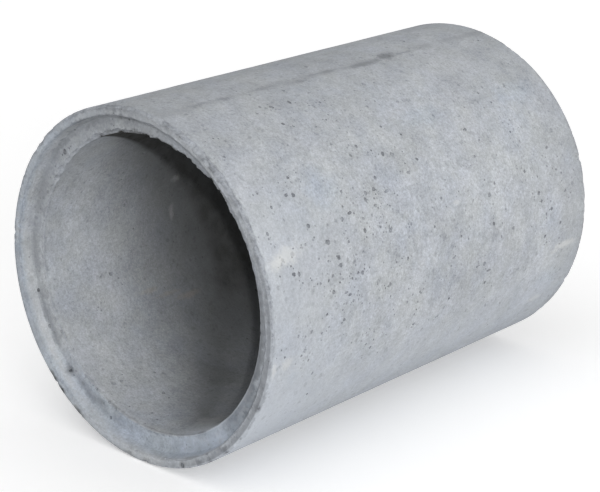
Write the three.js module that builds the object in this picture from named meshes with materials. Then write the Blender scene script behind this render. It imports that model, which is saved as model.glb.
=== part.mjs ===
// Precast concrete sewer pipe, one casting, lying on its side.
// Millimetres, +Z up. The pipe's axis runs along Y, with the socket end at -Y and the tongue end at +Y,
// and the barrel touches the ground at z = 0.
//
// The pipe is a rebated one: its socket is a recess cut into the inner half of the wall, and its tongue is
// the matching step on the outer half of the wall at the other end, so that pipes in line seat in each other
// and the outside stays flush.

import * as THREE from 'three';
import { mergeVertices } from 'three/addons/utils/BufferGeometryUtils.js';

// Barrel
const BORE_DIAMETER = 600;
const WALL = 60;
const LAYING_LENGTH = 1000;     // from the socket's end face to the tongue's shoulder

// Socket, a recess in the inner half of the wall
const SOCKET_DEPTH = 30;
const LIP_WIDTH = 20;           // flat end face left around the socket's mouth
const SOCKET_TAPER = 5;         // how much the socket's radius shrinks from its mouth to its root

// Fit of the tongue in the next pipe's socket
const RADIAL_GAP = 4;           // all round the tongue, filled with mortar or a band
const AXIAL_GAP = 4;            // between the tongue's end face and the socket's root

// Worn or moulded edges
const OUTER_ARRIS = 5;          // outer edges of both ends of the barrel
const MOUTH_ARRIS = 3;          // inner edge of the lip
const ROOT_FILLET = 4;          // inside corners of the socket and of the tongue
const BORE_ARRIS = 4;           // both edges of the bore
const TONGUE_ARRIS = 5;         // outer edge of the tongue's end face

// Faceting
const FACETS = 96;              // flats round the pipe, an even number, one of them flat on the ground
const ARC_STEPS = 3;            // straight steps in each rounded edge of the section

const CONCRETE = { color: 0xbcc1c6, roughness: 0.93, metalness: 0 };

// Worked-out sizes
const boreRadius = BORE_DIAMETER / 2;
const barrelRadius = boreRadius + WALL;
const mouthRadius = barrelRadius - LIP_WIDTH;
const rootRadius = mouthRadius - SOCKET_TAPER;
const tongueLength = SOCKET_DEPTH - AXIAL_GAP;
const socketSlope = SOCKET_TAPER / SOCKET_DEPTH;
const tongueRootRadius = mouthRadius - RADIAL_GAP;
const tongueTipRadius = tongueRootRadius - socketSlope * tongueLength;
const overallLength = LAYING_LENGTH + tongueLength;

// The half section through the wall as a closed loop of corners, each with the radius that rounds it.
// x is the distance from the pipe's axis and y runs along it, from the socket's end face.
function sectionCorners() {
  return [
    { x: barrelRadius, y: 0, round: OUTER_ARRIS },
    { x: barrelRadius, y: LAYING_LENGTH, round: OUTER_ARRIS },
    { x: tongueRootRadius, y: LAYING_LENGTH, round: ROOT_FILLET },
    { x: tongueTipRadius, y: overallLength, round: TONGUE_ARRIS },
    { x: boreRadius, y: overallLength, round: BORE_ARRIS },
    { x: boreRadius, y: SOCKET_DEPTH, round: BORE_ARRIS },
    { x: rootRadius, y: SOCKET_DEPTH, round: ROOT_FILLET },
    { x: mouthRadius, y: 0, round: MOUTH_ARRIS },
  ];
}

// Points along the arc that rounds one corner, from the side of the corner before it to the side of the next.
function roundedCorner(before, corner, after) {
  const apex = new THREE.Vector2(corner.x, corner.y);
  const toBefore = new THREE.Vector2(before.x, before.y).sub(apex).normalize();
  const toAfter = new THREE.Vector2(after.x, after.y).sub(apex).normalize();
  const halfAngle = Math.acos(toBefore.dot(toAfter)) / 2;
  const centre = toBefore.clone().add(toAfter).normalize()
    .multiplyScalar(corner.round / Math.sin(halfAngle)).add(apex);
  const tangentLength = corner.round / Math.tan(halfAngle);
  const start = toBefore.clone().multiplyScalar(tangentLength).add(apex).sub(centre);
  const end = toAfter.clone().multiplyScalar(tangentLength).add(apex).sub(centre);
  const sweep = Math.atan2(start.cross(end), start.dot(end));
  const points = [];
  for (let step = 0; step <= ARC_STEPS; step += 1) {
    const turn = (sweep * step) / ARC_STEPS;
    points.push(start.clone().rotateAround(new THREE.Vector2(), turn).add(centre));
  }
  return points;
}

// The whole section, closed on itself.
function sectionProfile(corners) {
  const points = corners.flatMap((corner, index) => {
    const before = corners[(index + corners.length - 1) % corners.length];
    const after = corners[(index + 1) % corners.length];
    return roundedCorner(before, corner, after);
  });
  points.push(points[0].clone());
  return points;
}

// The section turned about Y. The radii are taken to the middle of each flat, so the pipe measures its
// stated diameters across the flats, and half a step of turn puts a flat at the bottom.
function turnedPipe() {
  const acrossFlats = 1 / Math.cos(Math.PI / FACETS);
  const profile = sectionProfile(sectionCorners());
  profile.forEach((point) => point.setX(point.x * acrossFlats));
  const lathe = new THREE.LatheGeometry(profile, FACETS, Math.PI / FACETS, 2 * Math.PI);
  lathe.deleteAttribute('normal');
  lathe.deleteAttribute('uv');
  const closed = mergeVertices(lathe, 0.001);
  closed.computeVertexNormals();
  return closed;
}

const pipe = new THREE.Mesh(turnedPipe(), new THREE.MeshStandardMaterial(CONCRETE));
pipe.name = 'concrete_pipe';
pipe.position.set(0, -overallLength / 2, barrelRadius);

const group = new THREE.Group();
group.add(pipe);

export default group;
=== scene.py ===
"""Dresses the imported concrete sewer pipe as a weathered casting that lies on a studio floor.

Lengths are in metres, or in millimetres where a field's note says so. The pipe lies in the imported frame: its
axis runs along Y, one barrel radius above the floor, with the socket at -Y and the tongue at +Y. A place
on the casting is told by its angle round the axis, in degrees from +X towards +Z, and by its distance along
the pipe from the socket's end face.
"""

import logging
import math
from collections.abc import Mapping
from dataclasses import dataclass
from enum import Enum

import bmesh
import bpy
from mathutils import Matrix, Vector

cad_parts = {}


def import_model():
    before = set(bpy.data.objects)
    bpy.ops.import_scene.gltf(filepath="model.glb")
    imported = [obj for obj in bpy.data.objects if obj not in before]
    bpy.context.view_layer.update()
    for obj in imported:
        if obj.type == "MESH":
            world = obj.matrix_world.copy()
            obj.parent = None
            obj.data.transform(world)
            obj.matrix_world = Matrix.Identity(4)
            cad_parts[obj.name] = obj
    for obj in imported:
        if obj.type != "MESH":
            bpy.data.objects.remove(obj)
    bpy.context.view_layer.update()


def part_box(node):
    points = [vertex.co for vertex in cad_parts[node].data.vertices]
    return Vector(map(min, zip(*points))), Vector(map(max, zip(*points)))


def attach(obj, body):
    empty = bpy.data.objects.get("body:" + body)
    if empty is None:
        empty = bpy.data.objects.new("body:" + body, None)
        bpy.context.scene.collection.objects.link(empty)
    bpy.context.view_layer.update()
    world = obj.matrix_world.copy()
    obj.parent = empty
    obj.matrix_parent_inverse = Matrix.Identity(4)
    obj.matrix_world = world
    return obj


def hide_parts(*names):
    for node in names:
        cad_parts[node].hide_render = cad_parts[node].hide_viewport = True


LOG = logging.getLogger("sewer_pipe")
MM = 0.001
HALF_TURN = 180.0
WHITE = (1.0, 1.0, 1.0, 1.0)
NODE = "concrete_pipe"
VOID_MASK = "void"
BREAK_MASK = "broken"
VOID_WIDTH = "width"
VOID_STRETCH = "stretch"
LUMP_SIZE = "lump_size"
FIN_HALF_ANGLE = 0.55

Node = bpy.types.Node
Socket = bpy.types.NodeSocket
Sockets = Mapping[str, Socket]
Feed = Socket | float | int | bool | str | tuple
Feeds = Mapping[str | int, Feed]
Colour = tuple[float, float, float, float]


# -------------------------------------------------------------------------------------------- node trees


class TreeKind(Enum):
    """The two kinds of node tree that the script builds."""

    SHADER = "ShaderNodeTree"
    GEOMETRY = "GeometryNodeTree"


class Port(Enum):
    """The kinds of socket that a group shows to the outside."""

    NUMBER = "NodeSocketFloat"
    COUNT = "NodeSocketInt"
    CHOICE = "NodeSocketBool"
    VECTOR = "NodeSocketVector"
    SHAPE = "NodeSocketGeometry"
    THING = "NodeSocketObject"
    FINISH = "NodeSocketMaterial"


PORT_OF_VALUE = {bool: Port.CHOICE, int: Port.COUNT, float: Port.NUMBER, tuple: Port.VECTOR}


@dataclass
class Graph:
    """A node tree while it is being wired.

    Attributes:
        tree: The tree that receives the nodes.
    """

    tree: bpy.types.NodeTree

    def node(self, kind: str, feeds: Feeds | None = None, **settings: object) -> Node:
        """Adds a node.

        Args:
            kind: The node's type name.
            feeds: What goes into its inputs, by name or by number: a socket or a plain value.
            settings: The node's own options.

        Returns:
            The new node.
        """
        made = self.tree.nodes.new(kind)
        made.location = (180 * (len(self.tree.nodes) % 12), -220 * (len(self.tree.nodes) // 12))
        for option, value in settings.items():
            setattr(made, option, value)
        for key, feed in (feeds or {}).items():
            self.feed(made.inputs[key], feed)
        return made

    def feed(self, socket: Socket, feed: Feed) -> None:
        """Links a socket to another one, or sets its value.

        Args:
            socket: The input that is fed.
            feed: An output socket or a plain value.
        """
        if isinstance(feed, Socket):
            self.tree.links.new(feed, socket)
        else:
            socket.default_value = feed

    def out(
        self, kind: str, feeds: Feeds | None = None, output: str | int = 0, **settings: object
    ) -> Socket:
        """Adds a node and returns one of its outputs, the first one if none is named."""
        return self.node(kind, feeds, **settings).outputs[output]

    def math(self, operation: str, *feeds: Feed) -> Socket:
        """Adds a Math node and returns its result."""
        return self.out("ShaderNodeMath", dict(enumerate(feeds)), operation=operation)

    def times(self, first: Feed, *others: Feed) -> Socket:
        """Multiplies a number by the others, one after another."""
        for other in others:
            first = self.math("MULTIPLY", first, other)
        return first

    def plus(self, first: Feed, second: Feed) -> Socket:
        """Adds two numbers."""
        return self.math("ADD", first, second)

    def minus(self, first: Feed, second: Feed) -> Socket:
        """Takes the second number from the first."""
        return self.math("SUBTRACT", first, second)

    def over(self, first: Feed, second: Feed) -> Socket:
        """Divides the first number by the second."""
        return self.math("DIVIDE", first, second)

    def larger(self, first: Feed, second: Feed) -> Socket:
        """Returns the larger of two numbers."""
        return self.math("MAXIMUM", first, second)

    def turn(self, angle: Feed, start: Feed) -> Socket:
        """Returns how far an angle lies past another one, in degrees from -180 to 180."""
        return self.math("WRAP", self.minus(angle, start), HALF_TURN, -HALF_TURN)

    def vector(self, operation: str, *feeds: Feed) -> Socket:
        """Adds a Vector Math node and returns its vector."""
        return self.out("ShaderNodeVectorMath", dict(enumerate(feeds)), operation=operation)

    def scaled(self, vector: Feed, factor: Feed) -> Socket:
        """Returns a vector times a number."""
        return self.out("ShaderNodeVectorMath", {0: vector, "Scale": factor}, operation="SCALE")

    def length(self, vector: Feed) -> Socket:
        """Returns a vector's length."""
        return self.out("ShaderNodeVectorMath", {0: vector}, "Value", operation="LENGTH")

    def combine(self, x: Feed, y: Feed, z: Feed) -> Socket:
        """Returns the vector made of three numbers."""
        return self.out("ShaderNodeCombineXYZ", {0: x, 1: y, 2: z})

    def separate(self, vector: Feed) -> tuple[Socket, ...]:
        """Returns the three numbers of a vector."""
        return tuple(self.node("ShaderNodeSeparateXYZ", {0: vector}).outputs)

    def ramp(self, value: Feed, low: Feed, high: Feed, start: Feed = 0.0, end: Feed = 1.0) -> Socket:
        """Maps a value smoothly and without overshoot.

        Args:
            value: The number that is mapped.
            low: The value at which the result is start.
            high: The value at which the result is end.
            start: The result at and before low.
            end: The result at and past high.

        Returns:
            The mapped number's socket.
        """
        feeds = {0: value, 1: low, 2: high, 3: start, 4: end}
        return self.out("ShaderNodeMapRange", feeds, interpolation_type="SMOOTHSTEP")

    def noise(
        self,
        point: Feed,
        scale: Feed,
        detail: float = 2.0,
        roughness: float = 0.5,
        output: str = "Fac",
    ) -> Socket:
        """Adds a noise texture.

        Args:
            point: Where in space the noise is taken.
            scale: How many of its clouds go into a metre.
            detail: How many finer layers lie on the clouds.
            roughness: How strong the finer layers are.
            output: Which of the texture's outputs is returned.

        Returns:
            The output: a number round a half, or a colour of three such numbers.
        """
        feeds = {"Vector": point, "Scale": scale, "Detail": detail, "Roughness": roughness}
        return self.out("ShaderNodeTexNoise", feeds, output)

    def swirl(self, point: Feed, scale: Feed, detail: float = 2.0) -> Socket:
        """Returns a noisy vector that points every way round."""
        return self.vector("SUBTRACT", self.noise(point, scale, detail, output="Color"), (0.5, 0.5, 0.5))

    def tint(self, amount: Feed, below: Feed, above: Feed, blend: str = "MIX") -> Socket:
        """Mixes two colours.

        Args:
            amount: How much of the upper colour shows.
            below: The lower colour.
            above: The upper colour.
            blend: How the upper colour is laid on the lower one.

        Returns:
            The mixed colour's socket.
        """
        mix = self.node("ShaderNodeMix", data_type="RGBA", blend_type=blend)
        for name, feed in (("Factor_Float", amount), ("A_Color", below), ("B_Color", above)):
            socket = next(s for s in mix.inputs if s.identifier == name)
            self.feed(socket, feed)
        return next(s for s in mix.outputs if s.identifier == "Result_Color")

    def position(self) -> Socket:
        """Returns the place of each point of a shape."""
        return self.out("GeometryNodeInputPosition")

    def normal(self) -> Socket:
        """Returns the direction that each point of a shape faces."""
        return self.out("GeometryNodeInputNormal")

    def index(self) -> Socket:
        """Returns the number of each point of a shape."""
        return self.out("GeometryNodeInputIndex")

    def attribute(self, name: str) -> Socket:
        """Returns the number that a shape stores under a name."""
        return self.out("GeometryNodeInputNamedAttribute", {"Name": name}, data_type="FLOAT")

    def stored(self, shape: Feed, name: str, value: Feed, domain: str) -> Socket:
        """Stores a number under a name on a shape's points or faces, and returns the shape."""
        feeds = {"Geometry": shape, "Name": name, "Value": value}
        return self.out("GeometryNodeStoreNamedAttribute", feeds, data_type="FLOAT", domain=domain)

    def chance(self, seed: Feed) -> Socket:
        """Returns a random number from 0 to 1 for each point."""
        return self.out("FunctionNodeRandomValue", {"Seed": seed}, 1, data_type="FLOAT")

    def jitter(self, seed: Feed) -> Socket:
        """Returns a random vector for each point, with each of its numbers from -1 to 1."""
        feeds = {0: (-1.0, -1.0, -1.0), 1: (1.0, 1.0, 1.0), "Seed": seed}
        return self.out("FunctionNodeRandomValue", feeds, data_type="FLOAT_VECTOR")

    def moved(self, shape: Feed, offset: Feed) -> Socket:
        """Moves a shape's points and returns the shape."""
        return self.out("GeometryNodeSetPosition", {"Geometry": shape, "Offset": offset})

    def circle(self, steps: Feed, radius: Feed) -> Socket:
        """Adds a circle in the XY plane round the origin."""
        feeds = {"Resolution": steps, "Radius": radius}
        return self.out("GeometryNodeCurvePrimitiveCircle", feeds, mode="RADIUS")


class NodeGroup:
    """A node group that is built once and placed wherever it is needed.

    Attributes:
        name: The group's name.
        kind: The kind of tree that it goes into.
        inputs: The kind of each input, or its default value.
        outputs: The kind of each output.
    """

    name: str
    kind: TreeKind
    inputs: Mapping[str, Port | float | int | bool | tuple]
    outputs: Mapping[str, Port]

    def wire(self, graph: Graph, entry: Sockets) -> Feeds:
        """Wires the inside of the group.

        Args:
            graph: The group's own tree.
            entry: The group's inputs, by name.

        Returns:
            What feeds each of the group's outputs, by name.
        """
        raise NotImplementedError

    def tree(self) -> bpy.types.NodeTree:
        """Returns the group's tree, which the first call builds."""
        known = bpy.data.node_groups.get(self.name)
        if known is not None:
            return known
        tree = bpy.data.node_groups.new(self.name, self.kind.value)
        for name, given in self.inputs.items():
            plain = isinstance(given, Port)
            port = given if plain else PORT_OF_VALUE[type(given)]
            socket = tree.interface.new_socket(name, in_out="INPUT", socket_type=port.value)
            if not plain:
                socket.default_value = given
        for name, port in self.outputs.items():
            tree.interface.new_socket(name, in_out="OUTPUT", socket_type=port.value)
        graph = Graph(tree)
        entry = graph.node("NodeGroupInput")
        feeds = self.wire(graph, {name: entry.outputs[name] for name in self.inputs})
        graph.node("NodeGroupOutput", feeds)
        return tree

    def place(self, graph: Graph, feeds: Feeds) -> Sockets:
        """Places the group in a tree.

        Args:
            graph: The tree that receives the group.
            feeds: What goes into its inputs, by name.

        Returns:
            The group's outputs, by name.
        """
        kind = "ShaderNodeGroup" if self.kind is TreeKind.SHADER else "GeometryNodeGroup"
        return graph.node(kind, feeds, node_tree=self.tree()).outputs


def new_material(name: str) -> tuple[bpy.types.Material, Graph]:
    """Makes an empty material and returns it with its node tree."""
    material = bpy.data.materials.new(name)
    material.use_nodes = True
    material.node_tree.nodes.clear()
    return material, Graph(material.node_tree)


def hung(name: str, data: bpy.types.ID) -> bpy.types.Object:
    """Makes an object of a mesh, a light or a camera and hangs it in the scene."""
    thing = bpy.data.objects.new(name, data)
    bpy.context.scene.collection.objects.link(thing)
    return thing


# ------------------------------------------------------------------------------------------- the section


@dataclass(frozen=True)
class Corner:
    """A corner of the pipe's half section.

    Attributes:
        radius: Distance from the pipe's axis.
        along: Distance from the socket's end face.
        rounding: Radius of the arc that rounds the corner.
    """

    radius: float
    along: float
    rounding: float


@dataclass(frozen=True)
class PipeSection:
    """The rebated pipe's sizes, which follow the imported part.

    Attributes:
        barrel_radius: Outside radius of the barrel.
        overall_length: From the socket's end face to the tongue's end face.
        bore_radius: Radius of the bore.
        lip_width: Width of the end face round the socket's mouth.
        socket_depth: Depth of the socket.
        socket_taper: How much the socket's radius shrinks to its root.
        tongue_length: How far the tongue stands out of its shoulder.
        radial_gap: Gap round the tongue in the next pipe's socket.
        arris: Radius of the outer edges.
        mouth_arris: Radius of the edge of the socket's mouth.
        bore_arris: Radius of the edge of the bore in the socket.
        fillet: Radius of the other edges and of the inside corners.
    """

    barrel_radius: float
    overall_length: float
    bore_radius: float = 300 * MM
    lip_width: float = 20 * MM
    socket_depth: float = 30 * MM
    socket_taper: float = 5 * MM
    tongue_length: float = 26 * MM
    radial_gap: float = 4 * MM
    arris: float = 5 * MM
    mouth_arris: float = 3 * MM
    bore_arris: float = 2.5 * MM
    fillet: float = 4 * MM

    @classmethod
    def of_frame(cls, node: str) -> "PipeSection":
        """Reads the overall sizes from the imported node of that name."""
        low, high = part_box(node)
        return cls(barrel_radius=(high.x - low.x) / 2, overall_length=high.y - low.y)

    @property
    def barrel_length(self) -> float:
        """Length from the socket's end face to the tongue's shoulder."""
        return self.overall_length - self.tongue_length

    @property
    def mouth_radius(self) -> float:
        """Radius of the socket at its mouth."""
        return self.barrel_radius - self.lip_width

    @property
    def root_radius(self) -> float:
        """Radius of the socket at its root."""
        return self.mouth_radius - self.socket_taper

    @property
    def tongue_tip_radius(self) -> float:
        """Outside radius of the tongue at its end face."""
        taper = self.socket_taper * self.tongue_length / self.socket_depth
        return self.mouth_radius - self.radial_gap - taper

    @property
    def socket_face(self) -> float:
        """Where the socket's end face lies on the frame's Y axis."""
        return -self.overall_length / 2

    def corners(self) -> list[Corner]:
        """Returns the half section's corners in order, from the lip's outer edge along the barrel."""
        return [
            Corner(self.barrel_radius, 0.0, self.arris),
            Corner(self.barrel_radius, self.barrel_length, self.arris),
            Corner(self.mouth_radius - self.radial_gap, self.barrel_length, self.fillet),
            Corner(self.tongue_tip_radius, self.overall_length, self.arris),
            Corner(self.bore_radius, self.overall_length, self.fillet),
            Corner(self.bore_radius, self.socket_depth, self.bore_arris),
            Corner(self.root_radius, self.socket_depth, self.fillet),
            Corner(self.mouth_radius, 0.0, self.mouth_arris),
        ]

    def point(self, angle: float, along: float, radius: float) -> Vector:
        """Returns a place in the frame.

        Args:
            angle: Degrees round the axis from +X towards +Z.
            along: Distance from the socket's end face.
            radius: Distance from the axis.

        Returns:
            The place as a vector.
        """
        turn = math.radians(angle)
        height = self.barrel_radius + radius * math.sin(turn)
        return Vector((radius * math.cos(turn), self.socket_face + along, height))


# ------------------------------------------------------------------------------------- marks on the pipe


class Region(Enum):
    """The parts of the surface that stain in their own ways."""

    WHOLE = "whole"
    BARREL = "barrel"
    SOCKET = "socket"
    RING = "ring"
    BORE = "bore"


class Stain(Enum):
    """The kinds of stain. SOIL_AND_SHADE also serves for painted shade in the socket's corners, and
    NEAR_BLACK, a near-black, for a painted shadow in the bore.
    """

    GRIME = "grime"
    COOL = "cool"
    LIME = "lime"
    RUST = "rust"
    SOIL_AND_SHADE = "soil"
    NEAR_BLACK = "wet"


@dataclass(frozen=True)
class MouldLine:
    """A line that a joint of the mould leaves along the barrel.

    Attributes:
        angle: Where it runs, in degrees round the axis.
        fin: Height of the fin that stands on it.
        half_width: Half the width of the stained band, in degrees.
        stain: How much darker the band is, from 0 to 1.
    """

    angle: float
    fin: float
    half_width: float
    stain: float


@dataclass(frozen=True)
class Patch:
    """A soft-edged stain, or a soft-edged patch of painted shade.

    Attributes:
        angle: Its centre, in degrees round the axis.
        along: Its centre, in millimetres from the socket's end face.
        half_angle: Half its width round the pipe, in degrees.
        half_length: Half its length, in millimetres.
        strength: How much of its colour shows, from 0 to 1.
        radius: Radius of its centre, in millimetres.
        half_depth: Half its reach along the radius, in millimetres.
    """

    angle: float
    along: float
    half_angle: float
    half_length: float
    strength: float
    radius: float = 330.0
    half_depth: float = 1000.0


@dataclass(frozen=True)
class Void:
    """An air void or a small chip.

    Attributes:
        angle: Its centre, in degrees round the axis.
        along: Its centre, in millimetres from the socket's end face.
        width: Its width round the pipe, in millimetres.
        stretch: Its length along the pipe over its width.
        inset: How far its centre lies inside the barrel's radius, in millimetres.
    """

    angle: float
    along: float
    width: float
    stretch: float = 1.0
    inset: float = 0.0


@dataclass(frozen=True)
class EdgeBand:
    """A stained band that hugs an edge or a corner of the section; in a corner or under the lip it also paints
    shade, and one band paints a shadow.

    Attributes:
        radius: Radius of the edge.
        along: Distance of the edge from the socket's end face, in metres.
        width: How far the band reaches from the edge.
        strength: How much of its colour shows, from 0 to 1.
        centre: Where the band is strongest, in degrees round the axis.
        half_angle: How far it runs to each side of that, in degrees.
        stain: What it is stained with.
        region: The part of the surface that it keeps to.
    """

    radius: float
    along: float
    width: float
    strength: float
    centre: float = 0.0
    half_angle: float = 720.0
    stain: Stain = Stain.SOIL_AND_SHADE
    region: Region = Region.WHOLE


@dataclass(frozen=True)
class Arris:
    """An edge of the casting that has lost chips.

    Attributes:
        radius: Radius of the edge.
        along: Distance of the edge from the socket's end face, in metres.
        leaning: Which way the edge points, away from the axis and along it, each as 1 or -1.
        wear: How far the edge is worn down on the average, from its sharp corner.
        worst_wear: How much further it is worn where it is worn most.
        chips: How many chips are tried round the edge.
        largest: Width that few chips reach.
        worst: Where the edge is worn most, in degrees round the axis.
        seed: Seed of the chips' places and sizes.
    """

    radius: float
    along: float
    leaning: tuple[int, int]
    wear: float
    worst_wear: float
    chips: int
    largest: float
    worst: float
    seed: int


MOULD_LINES = (
    MouldLine(angle=79.4, fin=0.9 * MM, half_width=2.2, stain=0.50),
    MouldLine(angle=49.0, fin=0.4 * MM, half_width=0.5, stain=0.20),
    MouldLine(angle=-21.0, fin=0.4 * MM, half_width=0.5, stain=0.08),
    MouldLine(angle=-100.0, fin=0.8 * MM, half_width=0.8, stain=0.25),
    MouldLine(angle=-160.0, fin=0.4 * MM, half_width=0.4, stain=0.10),
    MouldLine(angle=150.0, fin=0.4 * MM, half_width=0.4, stain=0.10),
)

BARREL_VOIDS = (
    Void(69, 250, 9), Void(69, 300, 7), Void(68, 203, 5), Void(61, 232, 7), Void(59, 250, 4.5),
    Void(63.5, 312, 7), Void(64.5, 341, 7), Void(65.5, 366, 5), Void(71, 371, 5), Void(75.5, 325, 7),
    Void(58, 337, 4), Void(53.5, 350, 5), Void(58.5, 463, 6.5), Void(49, 300, 4, 1.4), Void(41, 412, 9),
    Void(40, 436, 9), Void(37.5, 138, 8), Void(38, 121, 6.5), Void(43, 148, 6), Void(27.5, 142, 8),
    Void(27.5, 36, 4.5), Void(55.5, 42, 6), Void(34, 258, 6), Void(31, 318, 8), Void(29.3, 310, 8),
    Void(31.5, 343, 8), Void(29.6, 375, 6, 2.2), Void(27, 257, 6, 1.8), Void(26, 232, 8),
    Void(26.5, 331, 7), Void(24, 288, 6), Void(22.5, 343, 5), Void(21, 178, 9, 1.3), Void(20.5, 283, 8),
    Void(33, 455, 6, 2.0), Void(46, 357, 6.5), Void(43, 376, 4.5), Void(68, 515, 8), Void(57, 548, 7),
    Void(50, 453, 5), Void(74.5, 945, 6), Void(51.5, 870, 6.5), Void(31, 660, 6.5), Void(40.5, 672, 6),
    Void(31, 930, 8), Void(31, 815, 5), Void(26, 895, 5, 2.0), Void(36, 495, 6), Void(35, 800, 5),
    Void(19, 232, 5.5), Void(22.5, 120, 5.5), Void(20, 327, 6), Void(19, 332, 5), Void(18, 352, 9),
    Void(17.5, 415, 6), Void(15.5, 73, 8), Void(15, 86, 7), Void(15.6, 197, 9), Void(13.2, 198, 8),
    Void(12.8, 238, 6), Void(11, 173, 6), Void(10, 138, 5), Void(10, 160, 5), Void(8.5, 255, 8),
    Void(9, 243, 5.5), Void(8, 225, 5), Void(7.5, 390, 6), Void(6, 171, 8), Void(4.5, 205, 5, 2.0),
    Void(3.3, 216, 6, 1.6), Void(4, 298, 8), Void(1.5, 333, 7), Void(1, 225, 6), Void(0, 150, 5),
    Void(-3.5, 108, 6), Void(-4, 200, 6.5), Void(-5.5, 137, 5), Void(-9, 93, 9), Void(-10.5, 85, 6),
    Void(-8.5, 38, 5), Void(-13, 108, 5), Void(-14.5, 262, 5), Void(-16.5, 280, 5), Void(-18.7, 298, 6),
    Void(-16, 302, 4.5), Void(-16.5, 427, 5, 1.8), Void(-5, 405, 4.5), Void(-5, 428, 4.5),
    Void(-17.5, 505, 6), Void(-15, 520, 5), Void(-12, 530, 5), Void(17.5, 668, 9), Void(8, 669, 8),
    Void(4, 735, 7, 1.4), Void(-4.5, 638, 8), Void(-7.5, 655, 6, 2.2), Void(-3, 615, 4.5),
    Void(21, 798, 6), Void(12.4, 832, 8), Void(9.4, 838, 6), Void(13, 810, 5), Void(5.4, 872, 8),
    Void(4.5, 852, 5), Void(-3.5, 850, 8), Void(-0.5, 905, 6), Void(10, 925, 6), Void(18, 905, 5),
    Void(20, 877, 4.5), Void(-6, 858, 5.5), Void(-22.5, 680, 5), Void(22, 520, 6), Void(8, 560, 5),
    Void(2, 533, 5),
)

INNER_VOIDS = (
    Void(134.5, 30, 10, 1.5, 42), Void(131.5, 30, 5, 1.0, 44), Void(-134, 29, 6, 1.6, 27),
    Void(-132.5, 30, 6, 1.0, 38), Void(-163, 199, 7, 1.8, 60), Void(-107, 152, 7, 1.0, 60),
    Void(-120, 95, 6, 1.3, 60), Void(-94, 70, 6, 1.0, 60), Void(-99, 82, 5, 1.0, 60),
    Void(-118, 180, 5, 1.0, 60), Void(-152, 140, 4, 1.0, 60), Void(171, 250, 4, 1.0, 60),
    Void(-128, 30, 6, 1.0, 55), Void(-121, 30, 7, 1.0, 57), Void(-113, 30, 7, 1.0, 58),
    Void(-148, 30, 6, 1.0, 56), Void(-136, 0, 17, 0.7, -4.5), Void(-132.5, 0, 19, 0.7, -4.5),
    Void(-129, 0, 16, 0.7, -4), Void(-119, 0, 18, 0.7, -4.5), Void(152, 0, 13, 0.8, -2.5),
    Void(-96, 0, 14, 0.8, -3), Void(-87.5, 0, 14, 0.9, -2), Void(-62.5, 0, 15, 0.9, -2),
    Void(-56.5, 0, 12, 0.8, -2), Void(-48, 0, 14, 0.8, -3), Void(-25.5, 0, 12, 0.7, -2),
    Void(-70, 1, 9, 1.0, 8),
)

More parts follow.
